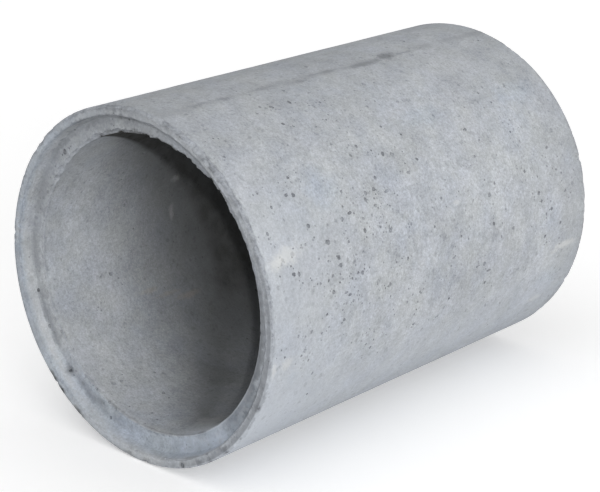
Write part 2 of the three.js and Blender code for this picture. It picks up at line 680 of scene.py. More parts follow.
PATCHES = {
    (Region.BARREL, Stain.GRIME): (
        Patch(80.5, 675, 3.2, 32, 0.55), Patch(78.5, 600, 2.2, 74, 0.45),
        Patch(80.0, 190, 2.4, 22, 0.40), Patch(78.5, 385, 2.4, 30, 0.40),
        Patch(79.8, 470, 1.8, 44, 0.35), Patch(80.0, 800, 2.2, 30, 0.40),
        Patch(80.0, 885, 1.8, 38, 0.30), Patch(79.0, 975, 2.8, 34, 0.45),
        Patch(49.2, 770, 1.2, 50, 0.32), Patch(-36.0, 985, 7.0, 22, 0.35),
        Patch(-10.0, 985, 40.0, 12, 0.16),
    ),
    (Region.BARREL, Stain.SOIL_AND_SHADE): (
        Patch(79.8, 668, 2.4, 28, 0.66), Patch(78.4, 600, 1.6, 60, 0.52),
        Patch(79.0, 722, 0.9, 34, 0.40), Patch(79.7, 488, 1.2, 30, 0.36),
        Patch(78.2, 392, 1.3, 20, 0.40), Patch(80.0, 450, 0.8, 30, 0.26),
        Patch(79.2, 188, 1.6, 18, 0.42), Patch(80.2, 130, 1.0, 46, 0.28),
        Patch(79.6, 285, 1.0, 46, 0.24),
    ),
    (Region.BARREL, Stain.COOL): (
        Patch(49.0, 575, 5.0, 90, 0.40), Patch(48.0, 895, 5.5, 80, 0.45),
        Patch(37.0, 215, 8.0, 55, 0.40), Patch(-22.0, 905, 6.0, 50, 0.35),
        Patch(-18.0, 70, 3.0, 24, 0.30),
    ),
    (Region.BARREL, Stain.LIME): (
        Patch(21.4, 68, 3.6, 44, 0.50), Patch(20.0, 34, 3.0, 30, 0.48),
        Patch(19.0, 562, 1.2, 16, 0.40), Patch(-9.6, 930, 1.7, 44, 0.50),
        Patch(-11.2, 896, 1.1, 20, 0.36), Patch(-11.0, 50, 2.4, 20, 0.40),
        Patch(-31.0, 890, 2.0, 34, 0.30), Patch(-12.0, 12, 3.4, 10, 0.40),
    ),
    (Region.WHOLE, Stain.SOIL_AND_SHADE): (
        Patch(-163.0, 0, 15.0, 7, 0.60, 359, 5), Patch(152.0, 0, 1.6, 7, 0.80, 358, 6),
        Patch(-134.0, 30, 2.4, 14, 0.90, 332, 10), Patch(-116.5, 30, 3.0, 6, 0.55, 316, 10),
        Patch(-95.0, 2, 2.4, 12, 0.90, 354, 10), Patch(-87.0, 2, 2.4, 12, 0.95, 355, 11),
        Patch(-70.0, 6, 2.0, 12, 0.55, 350, 8), Patch(-62.0, 3, 1.5, 12, 0.75, 352, 8),
        Patch(-56.5, 2, 1.2, 8, 0.65, 354, 7), Patch(-48.0, 2, 1.5, 8, 0.75, 352, 8),
        Patch(-25.5, 1, 2.0, 6, 0.60, 356, 8), Patch(71.5, 3, 9.0, 6, 0.30, 358, 8),
    ),
    (Region.WHOLE, Stain.NEAR_BLACK): (
        Patch(-134.5, 2, 4.0, 18, 0.80, 356, 12), Patch(-129.8, 2, 3.0, 18, 1.00, 355, 13),
        Patch(-120.0, 2, 3.6, 16, 0.85, 355, 12),
    ),
    (Region.SOCKET, Stain.SOIL_AND_SHADE): (
        Patch(-18.0, 0, 84.0, 6, 0.66, 351, 12), Patch(53.0, 0, 16.0, 8, 0.34, 357, 9),
        # Patch(-36.0, 30, ...) on the ring low down and Patch(100.0, 16, ...) on the wall under the top of the
        # lip are dirt with painted shade.
        Patch(-36.0, 30, 17.0, 14, 0.46, 315, 16), Patch(100.0, 16, 28.0, 18, 0.34),
        Patch(50.0, 28, 16.0, 12, 0.25),
    ),
    (Region.SOCKET, Stain.COOL): (
        Patch(-82.0, 26, 66.0, 24, 0.85), Patch(-143.0, 2, 64.0, 14, 0.80),
        Patch(150.0, 2, 45.0, 12, 0.60),
    ),
    (Region.SOCKET, Stain.LIME): (
        Patch(-142.0, 14, 66.0, 15, 0.16), Patch(-100.0, 2, 34.0, 10, 0.20),
        Patch(8.0, 28, 20.0, 7, 0.45, 334, 7),
    ),
    (Region.SOCKET, Stain.GRIME): (
        Patch(-150.0, 3, 7.0, 8, 0.30), Patch(-66.0, 4, 5.0, 8, 0.50),
        Patch(160.0, 31, 20.0, 6, 0.22),
    ),
    (Region.BORE, Stain.NEAR_BLACK): (Patch(-105.0, 300, 10.0, 60, 0.22),),
    (Region.BORE, Stain.LIME): (
        Patch(-92.0, 36, 24.0, 14, 0.12), Patch(-74.0, 118, 10.0, 46, 0.16),
        Patch(165.0, 398, 2.0, 14, 0.16), Patch(180.0, 390, 4.0, 9, 0.20),
    ),
    (Region.BORE, Stain.RUST): (
        Patch(-151.5, 280, 1.5, 36, 0.26), Patch(-148.0, 330, 1.5, 36, 0.26),
        Patch(-144.5, 382, 1.8, 38, 0.24),
    ),
    (Region.BORE, Stain.GRIME): (Patch(-140.0, 50, 30.0, 12, 0.18),),
}


# ----------------------------------------------------------------------------------------- shared groups


def numbers(*names: str) -> dict[str, Port]:
    """Returns number sockets of those names."""
    return dict.fromkeys(names, Port.NUMBER)


FRAME_INPUTS = numbers("Axis Height", "Socket Face")


def in_frame(entry: Sockets) -> Sockets:
    """Returns the two inputs of a group that tell where the pipe lies in the frame."""
    return {name: entry[name] for name in FRAME_INPUTS}


def wire_pitted(graph: Graph, point: Feed, place: Sockets) -> Socket:
    """Wires how likely the casting is pitted: in clouds on its flanks, less on its crown and underside.

    Args:
        graph: The tree that receives the nodes.
        point: The point on the surface.
        place: The point's place on the pipe.

    Returns:
        A number from 0 to 1.
    """
    rise = graph.separate(place["Outward"])[2]
    crown = graph.ramp(rise, 0.64, 0.99, 1.0, 0.62)
    underside = graph.ramp(rise, -0.52, -0.20, 0.34, 1.0)
    nearer = graph.ramp(place["Along"], 0.45, 0.70, 1.0, 0.9)
    banded = graph.vector("MULTIPLY", point, (1.0, 2.0, 1.0))
    cloud = graph.ramp(graph.noise(banded, 7.0, detail=3.0), 0.40, 0.60, 0.08, 1.0)
    return graph.times(graph.times(crown, underside), nearer, cloud)


class PlaceOnFinish(NodeGroup):
    """Tells a shader where on the pipe it is."""

    name, kind = "pipe_place", TreeKind.SHADER
    inputs = {"Point": Port.VECTOR} | FRAME_INPUTS
    outputs = numbers("Angle", "Along", "Radius") | {"Outward": Port.VECTOR}

    def wire(self, graph: Graph, entry: Sockets) -> Feeds:
        """Wires the numbers that tell a place on the pipe, and the way out from its axis."""
        x, y, z = graph.separate(entry["Point"])
        rise = graph.minus(z, entry["Axis Height"])
        flat = graph.combine(x, 0.0, rise)
        return {
            "Angle": graph.math("DEGREES", graph.math("ARCTAN2", rise, x)),
            "Along": graph.minus(y, entry["Socket Face"]),
            "Radius": graph.length(flat),
            "Outward": graph.vector("NORMALIZE", flat),
        }


class PlaceOnMesh(PlaceOnFinish):
    """Tells a geometry tree where on the pipe a point is."""

    name, kind = "pipe_place_of_point", TreeKind.GEOMETRY


class Mottle(NodeGroup):
    """Cloudy tone that varies between two levels."""

    name, kind = "mottle", TreeKind.SHADER
    inputs = {"Point": Port.VECTOR, "Offset": Port.VECTOR} | numbers("Cloud Size", "Low", "High")
    outputs = numbers("Level")

    def wire(self, graph: Graph, entry: Sockets) -> Feeds:
        """Wires a rough noise into a smooth level."""
        point = graph.vector("ADD", entry["Point"], entry["Offset"])
        cloud = graph.noise(point, graph.over(1.0, entry["Cloud Size"]), detail=4.0, roughness=0.58)
        return {"Level": graph.ramp(cloud, 0.28, 0.72, entry["Low"], entry["High"])}


class PatchMask(NodeGroup):
    """An oval patch on the pipe with a ragged, soft edge."""

    name, kind = "patch_mask", TreeKind.SHADER
    inputs = numbers("Angle", "Along", "Radius", "Ragged", "Strength") | numbers(
        "Centre Angle", "Centre Along", "Centre Radius", "Half Angle", "Half Length", "Half Depth"
    )
    outputs = numbers("Mask")

    def wire(self, graph: Graph, entry: Sockets) -> Feeds:
        """Wires the distance from the centre, roughened by the Ragged input, into a mask."""
        across = graph.over(graph.turn(entry["Angle"], entry["Centre Angle"]), entry["Half Angle"])
        ahead = graph.over(graph.minus(entry["Along"], entry["Centre Along"]), entry["Half Length"])
        out = graph.over(graph.minus(entry["Radius"], entry["Centre Radius"]), entry["Half Depth"])
        reach = graph.plus(graph.length(graph.combine(across, ahead, out)), entry["Ragged"])
        return {"Mask": graph.ramp(reach, 0.25, 1.15, entry["Strength"], 0.0)}


class EdgeMask(NodeGroup):
    """A ragged band round the pipe that hugs one edge of its section."""

    name, kind = "edge_mask", TreeKind.SHADER
    inputs = numbers("Angle", "Along", "Radius", "Ragged", "Strength") | numbers(
        "Edge Radius", "Edge Along", "Width", "Centre Angle", "Half Angle"
    )
    outputs = numbers("Mask")

    def wire(self, graph: Graph, entry: Sockets) -> Feeds:
        """Wires the distance from the edge, roughened by the Ragged input, into a mask."""
        turn = graph.turn(entry["Angle"], entry["Centre Angle"])
        sweep = graph.over(graph.math("ABSOLUTE", turn), entry["Half Angle"])
        strength = graph.times(graph.ramp(sweep, 0.4, 1.0, 1.0, 0.0), entry["Strength"])
        across = graph.math("POWER", graph.minus(entry["Radius"], entry["Edge Radius"]), 2.0)
        ahead = graph.math("POWER", graph.minus(entry["Along"], entry["Edge Along"]), 2.0)
        reach = graph.over(graph.math("SQRT", graph.plus(across, ahead)), entry["Width"])
        return {"Mask": graph.ramp(graph.plus(reach, entry["Ragged"]), 0.35, 1.1, strength, 0.0)}


class LineMask(NodeGroup):
    """A straight, broken band along the pipe.

    Attributes:
        breaks_per_metre: How often it comes and goes.
    """

    name, kind = "line_mask", TreeKind.SHADER
    inputs = numbers("Angle", "Along", "Ragged", "Line Angle", "Half Width", "Strength")
    outputs = numbers("Mask")
    breaks_per_metre = 14.0

    def wire(self, graph: Graph, entry: Sockets) -> Feeds:
        """Wires the distance from the line, and how the band comes and goes along it, into a mask."""
        turn = graph.turn(entry["Angle"], entry["Line Angle"])
        across = graph.over(graph.math("ABSOLUTE", turn), entry["Half Width"])
        band = graph.ramp(graph.plus(across, entry["Ragged"]), 0.2, 1.3, entry["Strength"], 0.0)
        seat = graph.combine(graph.times(entry["Along"], self.breaks_per_metre), entry["Line Angle"], 0.0)
        worn = graph.ramp(graph.noise(seat, 1.0), 0.35, 0.6, 0.35, 1.0)
        return {"Mask": graph.times(band, worn)}


class PoreSpots(NodeGroup):
    """Small round pores, scattered unevenly.

    Attributes:
        bend: How far the cells are bent out of shape, over the pores' spacing.
        largest: Radius of the largest pore in its cell.
        soft_rim: How far a pore fades outside its rim, which is half of how far it fades inside.
    """

    name, kind = "pore_spots", TreeKind.SHADER
    inputs = {"Point": Port.VECTOR} | numbers("Spacing", "Share")
    outputs = numbers("Mask")
    bend, largest, soft_rim = 0.9, 0.32, 0.06

    def wire(self, graph: Graph, entry: Sockets) -> Feeds:
        """Wires a cell texture whose cells each hold a pore of their own size, or none."""
        scale = graph.over(1.0, entry["Spacing"])
        reach = graph.times(entry["Spacing"], self.bend)
        push = graph.scaled(graph.swirl(entry["Point"], scale, 3.0), reach)
        feeds = {"Vector": graph.vector("ADD", entry["Point"], push), "Scale": scale, "Randomness": 1.0}
        cells = graph.node("ShaderNodeTexVoronoi", feeds).outputs
        size = graph.ramp(graph.separate(cells["Color"])[0], 0.0, entry["Share"], self.largest, -0.05)
        past_rim = graph.minus(cells["Distance"], size)
        return {"Mask": graph.ramp(past_rim, -2 * self.soft_rim, self.soft_rim, 1.0, 0.0)}


# ---------------------------------------------------------------------------------- geometry of the wear


class Lump(Enum):
    """How each kind of lump is shaped, and how far two of them keep apart over the sum of their sizes."""

    BUBBLE = {"Stretch": (1.0, 1.2, 0.7), "Roughness": 0.4, "Clearance": 0.68}
    LARGE_VOID = {"Roughness": 0.80, "Fineness": 2, "Clearance": 0.62}
    SATELLITE = {"Stretch": (1.0, 1.0, 1.0), "Roughness": 0.4, "Fineness": 1, "Clearance": 0.60}
    CHIP = {"Stretch": (0.9, 0.9, 1.7), "Roughness": 0.65, "Fineness": 2, "Clearance": 0.0}


class Bubbles(Enum):
    """The sizes of the two kinds of scattered voids, and how much rarer the large ones of a kind are."""

    PORES = {"Smallest": 2.0 * MM, "Spread": 2.0 * MM, "Rarity": 2.0, "Fineness": 1}
    VOIDS = {"Smallest": 3.4 * MM, "Spread": 4.0 * MM, "Rarity": 3.0, "Fineness": 2}


CHIP_SETS = ("Set 0", "Set 1", "Set 2")


def wire_place(graph: Graph, entry: Sockets, point: Feed) -> Sockets:
    """Wires where on the pipe a point of a geometry tree is.

    Args:
        graph: The tree that receives the nodes.
        entry: The group's inputs, with Axis Height and Socket Face among them.
        point: The point.

    Returns:
        The sockets Angle, Along, Radius and Outward.
    """
    return PlaceOnMesh().place(graph, {"Point": point} | in_frame(entry))


def wire_near_worst(graph: Graph, entry: Sockets) -> Socket:
    """Wires how near a point of an edge is to the place where the edge is worn most.

    Args:
        graph: The tree that receives the nodes.
        entry: The group's inputs, with Axis Height, Socket Face and Worst Angle among them.

    Returns:
        A number that falls from 1 at that place to 0 on the far side of the pipe.
    """
    angle = wire_place(graph, entry, graph.position())["Angle"]
    turn = graph.math("ABSOLUTE", graph.turn(angle, entry["Worst Angle"]))
    return graph.ramp(turn, 25.0, 95.0, 1.0, 0.0)


def wire_stood(graph: Graph, entry: Sockets, ring: Feed, along: Feed) -> Socket:
    """Wires a ring's way from the floor to its place round the pipe's axis.

    Args:
        graph: The tree that receives the nodes.
        entry: The group's inputs, with Axis Height and Socket Face among them.
        ring: The ring, round the origin in the XY plane.
        along: Its distance from the socket's end face.

    Returns:
        The ring in its place.
    """
    seat = graph.combine(0.0, graph.plus(entry["Socket Face"], along), entry["Axis Height"])
    feeds = {"Geometry": ring, "Translation": seat, "Rotation": (math.pi / 2, 0.0, 0.0)}
    return graph.out("GeometryNodeTransform", feeds)


class UnevenFace(NodeGroup):
    """Sinks a cast face by low waves and ripples, and leaves the mould's fins standing.

    Attributes:
        waves_per_metre: How close the waves lie.
        ripples_per_metre: How close the ripples lie.
        fin_breaks_per_metre: How often a fin comes and goes.
    """

    name, kind = "uneven_face", TreeKind.GEOMETRY
    inputs = {"Shape": Port.SHAPE} | FRAME_INPUTS | numbers("Barrel Radius", "Wave Depth", "Ripple Depth")
    outputs = {"Shape": Port.SHAPE}
    waves_per_metre, ripples_per_metre, fin_breaks_per_metre = 9.0, 38.0, 22.0

    def wire(self, graph: Graph, entry: Sockets) -> Feeds:
        """Wires the sinking along each point's own normal."""
        position = graph.position()
        place = wire_place(graph, entry, position)
        waves = graph.times(graph.noise(position, self.waves_per_metre), entry["Wave Depth"])
        ripples = graph.times(graph.noise(position, self.ripples_per_metre), entry["Ripple Depth"])
        plain = graph.plus(waves, ripples)
        finned = plain
        for line in MOULD_LINES:
            finned = graph.minus(finned, self.fin(graph, place, line))
        sunk = graph.minus(entry["Barrel Radius"], place["Radius"])
        on_barrel = graph.ramp(sunk, 0.5 * MM, 1.5 * MM, 1.0, 0.0)
        mixed = graph.out("ShaderNodeMix", {0: on_barrel, 2: plain, 3: finned}, data_type="FLOAT")
        inwards = graph.times(graph.larger(mixed, 0.0), -1.0)
        return {"Shape": graph.moved(entry["Shape"], graph.scaled(graph.normal(), inwards))}

    def fin(self, graph: Graph, place: Sockets, line: MouldLine) -> Socket:
        """Wires one mould line's fin.

        Args:
            graph: The group's tree.
            place: The place on the pipe.
            line: The mould line.

        Returns:
            How far the fin stands out at a point.
        """
        turn = graph.math("ABSOLUTE", graph.turn(place["Angle"], line.angle))
        crest = graph.ramp(turn, 0.0, FIN_HALF_ANGLE, line.fin, 0.0)
        seat = graph.combine(graph.times(place["Along"], self.fin_breaks_per_metre), line.angle, 0.0)
        left = graph.ramp(graph.noise(seat, 1.0), 0.42, 0.58)
        return graph.times(crest, left)


class RoughLump(NodeGroup):
    """Places lumps on points and roughens each in proportion to its own size.

    Attributes:
        bumps: How many bumps go into a lump's width.
    """

    name, kind = "rough_lump", TreeKind.GEOMETRY
    inputs = {
        "Points": Port.SHAPE,
        "Rotation": Port.VECTOR,
        "Stretch": Port.VECTOR,
        "Fineness": Port.COUNT,
        "Chosen": True,
        **numbers("Size", "Roughness", "Clearance"),
    }
    outputs = {"Shape": Port.SHAPE}
    bumps = 1.7

    def wire(self, graph: Graph, entry: Sockets) -> Feeds:
        """Wires round lumps, realised and pushed about by a noise on a scale of their own size."""
        ball = graph.out("GeometryNodeMeshIcoSphere", {"Radius": 0.5, "Subdivisions": entry["Fineness"]})
        size, position = graph.attribute(LUMP_SIZE), graph.position()
        feeds = {
            "Points": graph.stored(entry["Points"], LUMP_SIZE, entry["Size"], "POINT"),
            "Selection": self.clear(graph, entry, position, size),
            "Instance": ball,
            "Rotation": entry["Rotation"],
            "Scale": graph.scaled(entry["Stretch"], entry["Size"]),
        }
        placed = graph.out("GeometryNodeInstanceOnPoints", feeds)
        real = graph.out("GeometryNodeRealizeInstances", {0: placed})
        push = graph.swirl(graph.scaled(position, graph.over(self.bumps, size)), 1.0)
        reach = graph.times(size, entry["Roughness"])
        return {"Shape": graph.moved(real, graph.scaled(push, reach))}

    @staticmethod
    def clear(graph: Graph, entry: Sockets, position: Socket, size: Socket) -> Socket:
        """Wires which lumps are chosen and keep clear of their nearest neighbour.

        Of two lumps that are too near to each other, the one that comes first is kept.

        Args:
            graph: The group's tree.
            entry: The group's inputs.
            position: Each lump's place.
            size: Each lump's size.

        Returns:
            Whether a lump is made.
        """
        nearest = graph.out("GeometryNodeIndexOfNearest", output="Index")
        there, other = (
            graph.out("GeometryNodeFieldAtIndex", {"Value": value, "Index": nearest}, data_type=kind)
            for value, kind in ((position, "FLOAT_VECTOR"), (size, "FLOAT"))
        )
        gap = graph.out("ShaderNodeVectorMath", {0: position, 1: there}, "Value", operation="DISTANCE")
        reach = graph.times(graph.plus(size, other), entry["Clearance"])
        first = graph.math("LESS_THAN", graph.index(), nearest)
        free = graph.larger(graph.math("GREATER_THAN", gap, reach), first)
        return graph.times(free, entry["Chosen"])


class AirVoids(NodeGroup):
    """Makes the small bubbles that open on the face of the concrete."""

    name, kind = "air_voids", TreeKind.GEOMETRY
    inputs = {
        "Casting": Port.SHAPE,
        **FRAME_INPUTS,
        **numbers("Bore Radius", "Voids per Square Metre", "Smallest", "Spread", "Rarity"),
        "Fineness": Port.COUNT,
        "Seed": Port.COUNT,
    }
    outputs = {"Shape": Port.SHAPE}

    def wire(self, graph: Graph, entry: Sockets) -> Feeds:
        """Wires bubbles that gather where the casting is pitted, and are fewer in the bore."""
        position = graph.position()
        place = wire_place(graph, entry, position)
        above = graph.minus(place["Radius"], entry["Bore Radius"])
        outside = graph.ramp(above, 2 * MM, 30 * MM, 0.3, 1.0)
        pitted = graph.times(wire_pitted(graph, position, place), outside)
        share = graph.times(pitted, entry["Voids per Square Metre"])
        feeds = {"Mesh": entry["Casting"], "Density": share, "Seed": entry["Seed"]}
        kind, method = "GeometryNodeDistributePointsOnFaces", "RANDOM"
        spread = graph.node(kind, feeds, distribute_method=method).outputs
        few = graph.math("POWER", graph.chance(entry["Seed"]), entry["Rarity"])
        feeds = {
            "Points": spread["Points"],
            "Rotation": spread["Rotation"],
            "Size": graph.plus(entry["Smallest"], graph.times(few, entry["Spread"])),
            "Fineness": entry["Fineness"],
        }
        return {"Shape": RoughLump().place(graph, feeds | Lump.BUBBLE.value)["Shape"]}


class MarkedVoids(NodeGroup):
    """Makes the larger voids, each where a marking point stands.

    Attributes:
        depth: Depth of a void's lump over its width.
        smallest_satellite: Size of the smallest pore beside a void.
        satellite_spread: How much larger the largest one is.
        scatter_seed: Seed of the pores' places.
        size_seed: Seed of their sizes.
    """

    name, kind = "marked_voids", TreeKind.GEOMETRY
    inputs = {"Marks": Port.THING, **FRAME_INPUTS, "Satellites": 5, "Scatter": 40 * MM}
    outputs = {"Large": Port.SHAPE, "Small": Port.SHAPE}
    depth = 0.95
    smallest_satellite, satellite_spread = 2.9 * MM, 3.0 * MM
    scatter_seed, size_seed = 3, 4

    def wire(self, graph: Graph, entry: Sockets) -> Feeds:
        """Wires a lump on each marking point, square to the barrel and long along it, and its pores."""
        feeds = {"Object": entry["Marks"]}
        marks = graph.out("GeometryNodeObjectInfo", feeds, "Geometry", transform_space="RELATIVE")
        points = graph.out("GeometryNodeMeshToPoints", {"Mesh": marks})
        outward = wire_place(graph, entry, graph.position())["Outward"]
        upright = graph.out("FunctionNodeAlignEulerToVector", {"Vector": outward}, axis="Z")
        feeds = {"Rotation": upright, "Vector": (0.0, 1.0, 0.0)}
        lengthways = graph.out("FunctionNodeAlignEulerToVector", feeds, axis="X", pivot_axis="Z")
        feeds = {
            "Points": points,
            "Rotation": lengthways,
            "Size": graph.attribute(VOID_WIDTH),
            "Stretch": graph.combine(graph.attribute(VOID_STRETCH), 1.0, self.depth),
        }
        large = RoughLump().place(graph, feeds | Lump.LARGE_VOID.value)["Shape"]
        return {"Large": large, "Small": self.satellites(graph, entry, points)}

    def satellites(self, graph: Graph, entry: Sockets, points: Socket) -> Socket:
        """Wires the small pores that gather round each marked void, on the same radius as the void.

        Args:
            graph: The group's tree.
            entry: The group's inputs.
            points: The marking points.

        Returns:
            The pores.
        """
        feeds = {"Geometry": points, "Amount": entry["Satellites"]}
        copies = graph.out("GeometryNodeDuplicateElements", feeds, "Geometry", domain="POINT")
        position = graph.position()
        chance = graph.jitter(self.scatter_seed)
        drift = graph.vector("MULTIPLY", chance, graph.vector("ABSOLUTE", chance))
        aside = graph.vector("ADD", position, graph.scaled(drift, entry["Scatter"]))
        before, after = (wire_place(graph, entry, spot) for spot in (position, aside))
        lowered = graph.minus(before["Radius"], after["Radius"])
        onto = graph.vector("ADD", aside, graph.scaled(after["Outward"], lowered))
        few = graph.math("POWER", graph.chance(self.size_seed), 2.0)
        feeds = {
            "Points": graph.out("GeometryNodeSetPosition", {"Geometry": copies, "Position": onto}),
            "Size": graph.math("MULTIPLY_ADD", few, self.satellite_spread, self.smallest_satellite),
        }
        return RoughLump().place(graph, feeds | Lump.SATELLITE.value)["Shape"]


class RaggedArris(NodeGroup):
    """Makes the tube that wears one edge down unevenly.

    Attributes:
        swings: Scale, detail and share of each layer of the unevenness, from fine to coarse.
    """

    name, kind = "ragged_arris", TreeKind.GEOMETRY
    inputs = {
        **FRAME_INPUTS,
        **numbers("Radius", "Along", "Leaning Out", "Leaning Along", "Wear", "Worst Wear", "Worst Angle"),
        "Reach": 6.0 * MM,
        "Steps Round": 600,
        "Steps of Section": 28,
    }
    outputs = {"Shape": Port.SHAPE}
    swings = ((80.0, 3.0, 2.6), (28.0, 2.0, 3.2), (9.0, 1.0, 1.6))

    def wire(self, graph: Graph, entry: Sockets) -> Feeds:
        """Wires a tube outside the edge that bites into it by the wear, more here and less there."""
        shift = graph.times(entry["Reach"], math.sqrt(0.5))
        radius = graph.math("MULTIPLY_ADD", shift, entry["Leaning Out"], entry["Radius"])
        along = graph.math("MULTIPLY_ADD", shift, entry["Leaning Along"], entry["Along"])
        ring = graph.circle(entry["Steps Round"], radius)
        rim = graph.circle(entry["Steps of Section"], graph.plus(entry["Reach"], entry["Wear"]))
        tube = graph.out("GeometryNodeCurveToMesh", {"Curve": ring, "Profile Curve": rim})
        worst = graph.times(wire_near_worst(graph, entry), entry["Worst Wear"])
        position = graph.position()
        swing = 0.0
        for scale, detail, share in self.swings:
            noise = graph.minus(graph.noise(position, scale, detail, 0.6), 0.5)
            swing = graph.math("MULTIPLY_ADD", noise, share, swing)
        push = graph.math("MULTIPLY_ADD", swing, graph.plus(entry["Wear"], worst), worst)
        stood = wire_stood(graph, entry, tube, along)
        return {"Shape": graph.moved(stood, graph.scaled(graph.normal(), push))}


class BrokenArris(NodeGroup):
    """Makes the lumps that have broken off round one edge.

    Attributes:
        smallest: Size of the smallest chip over the largest one's.
        mildest: Size of the chips away from the worst place over that of the chips at it.
        drift: How far a chip strays from the edge, over its size.
        drift_seed_step: What is added to the seed for the straying.
    """

    name, kind = "broken_arris", TreeKind.GEOMETRY
    inputs = {
        **FRAME_INPUTS,
        **numbers("Radius", "Along", "Largest", "Worst Angle"),
        "Chips": Port.COUNT,
        "Seed": Port.COUNT,
        "Steps Round": 256,
    }
    outputs = dict.fromkeys(CHIP_SETS, Port.SHAPE)
    smallest, mildest, drift, drift_seed_step = 0.28, 0.45, 0.38, 50.0

    def wire(self, graph: Graph, entry: Sockets) -> Feeds:
        """Wires lumps round a circle, jittered about the edge, larger where it is worn most.

        They are dealt in turn to three sets, so that no two lumps of a set overlap.
        """
        ring = graph.circle(entry["Steps Round"], entry["Radius"])
        stood = wire_stood(graph, entry, ring, entry["Along"])
        feeds = {"Curve": stood, "Count": entry["Chips"]}
        spots = graph.node("GeometryNodeCurveToPoints", feeds, mode="COUNT").outputs
        near_worst = wire_near_worst(graph, entry)
        near_worst = graph.math("MULTIPLY_ADD", near_worst, 1 - self.mildest, self.mildest)
        few = graph.plus(graph.math("POWER", graph.chance(entry["Seed"]), 3.0), self.smallest)
        size = graph.times(few, near_worst, entry["Largest"])
        jitter = graph.jitter(graph.plus(entry["Seed"], self.drift_seed_step))
        feeds = {
            "Points": graph.moved(spots["Points"], graph.scaled(jitter, graph.times(size, self.drift))),
            "Rotation": spots["Rotation"],
            "Size": size,
            **Lump.CHIP.value,
        }
        turn = graph.math("MODULO", graph.index(), float(len(CHIP_SETS)))
        sets = {}
        for number, name in enumerate(CHIP_SETS):
            chosen = graph.math("COMPARE", turn, float(number), 0.1)
            sets[name] = RoughLump().place(graph, feeds | {"Chosen": chosen})["Shape"]
        return sets


class WithoutCrumbs(NodeGroup):
    """Drops the crumbs that the cuts leave loose."""

    name, kind = "without_crumbs", TreeKind.GEOMETRY
    inputs = {"Shape": Port.SHAPE, "Fewest Points": 2000.0}
    outputs = {"Shape": Port.SHAPE}

    def wire(self, graph: Graph, entry: Sockets) -> Feeds:
        """Wires the count of the points that hang together, and drops them where they are few."""
        island = graph.out("GeometryNodeInputMeshIsland", output="Island Index")
        feeds = {"Value": 1.0, "Group ID": island}
        count = graph.out("GeometryNodeAccumulateField", feeds, "Total", data_type="FLOAT")
        loose = graph.math("LESS_THAN", count, entry["Fewest Points"])
        feeds = {"Geometry": entry["Shape"], "Selection": loose}
        return {"Shape": graph.out("GeometryNodeDeleteGeometry", feeds)}


class WeatheredCasting(NodeGroup):
    """The wear of the whole casting: an uneven face, voids and broken edges, cut into one solid."""

    name, kind = "weathered_casting", TreeKind.GEOMETRY
    inputs = {
        "Casting": Port.SHAPE,
        "Marks": Port.THING,
        "Finish": Port.FINISH,
        **FRAME_INPUTS,
        **numbers("Wave Depth", "Ripple Depth", "Bore Radius"),
        **numbers("Pores per Square Metre", "Voids per Square Metre"),
        "Seed": Port.COUNT,
    }
    outputs = {"Shape": Port.SHAPE}

    def __init__(self, arrises: tuple[Arris, ...]) -> None:
        """Keeps the edges that are worn."""
        self.arrises = arrises

    def wire(self, graph: Graph, entry: Sockets) -> Feeds:
        """Wires the wear in the order in which it happens."""
        where = in_frame(entry)
        feeds = {name: entry[name] for name in ("Wave Depth", "Ripple Depth")}
        feeds |= {"Shape": entry["Casting"], "Barrel Radius": entry["Axis Height"]}
        cast = UnevenFace().place(graph, feeds | where)["Shape"]
        feeds = {"Casting": cast, "Bore Radius": entry["Bore Radius"], "Seed": entry["Seed"]} | where
        counts = (entry["Pores per Square Metre"], entry["Voids per Square Metre"])
        pores, voids = (
            AirVoids().place(graph, feeds | {"Voids per Square Metre": count} | kind.value)["Shape"]
            for count, kind in zip(counts, Bubbles, strict=True)
        )
        marked = MarkedVoids().place(graph, {"Marks": entry["Marks"]} | where)
        tubes, *chips = self.broken(graph, where)
        solid = cast
        for lumps in (tubes, *chips):
            solid = self.without(graph, solid, lumps, BREAK_MASK)
        for lumps in (pores, voids, marked["Large"], marked["Small"]):
            solid = self.without(graph, solid, [lumps], VOID_MASK)
        whole = WithoutCrumbs().place(graph, {"Shape": solid})["Shape"]
        real = graph.out("GeometryNodeRealizeInstances", {0: whole})
        feeds = {"Geometry": real, "Material": entry["Finish"]}
        return {"Shape": graph.out("GeometryNodeSetMaterial", feeds)}

    def broken(self, graph: Graph, where: Sockets) -> list[list[Socket]]:
        """Wires what wears the edges.

        Args:
            graph: The group's tree.
            where: The inputs that tell where the pipe lies in the frame.

        Returns:
            The tubes of all edges, and each set of chips.
        """
        cutters: list[list[Socket]] = [[] for _ in ("tubes", *CHIP_SETS)]
        for arris in self.arrises:
            edge = {"Radius": arris.radius, "Along": arris.along, "Worst Angle": arris.worst} | where
            out, along = arris.leaning
            tube = {"Leaning Out": float(out), "Leaning Along": float(along)}
            tube |= {"Wear": arris.wear, "Worst Wear": arris.worst_wear}
            chips = {"Chips": arris.chips, "Largest": arris.largest, "Seed": arris.seed}
            worn = RaggedArris().place(graph, edge | tube).values()
            lost = BrokenArris().place(graph, edge | chips).values()
            for kind, shape in zip(cutters, worn + lost, strict=True):
                kind.append(shape)
        return cutters

    @staticmethod
    def without(graph: Graph, solid: Socket, shapes: list[Socket], mask: str) -> Socket:
        """Cuts shapes that keep clear of one another out of the solid.

        Args:
            graph: The tree that receives the nodes.
            solid: The solid.
            shapes: The cutting shapes.
            mask: Name of the face attribute that is 1 where they cut.

        Returns:
            What is left of the solid.
        """
        joined = graph.node("GeometryNodeJoinGeometry")
        for shape in shapes:
            graph.feed(joined.inputs[0], shape)
        cutters = graph.stored(joined.outputs[0], mask, 1.0, "FACE")
        feeds = {"Mesh 1": solid, "Mesh 2": cutters}
        return graph.out("GeometryNodeMeshBoolean", feeds, operation="DIFFERENCE", solver="MANIFOLD")


# -------------------------------------------------------------------------------------------- the finish


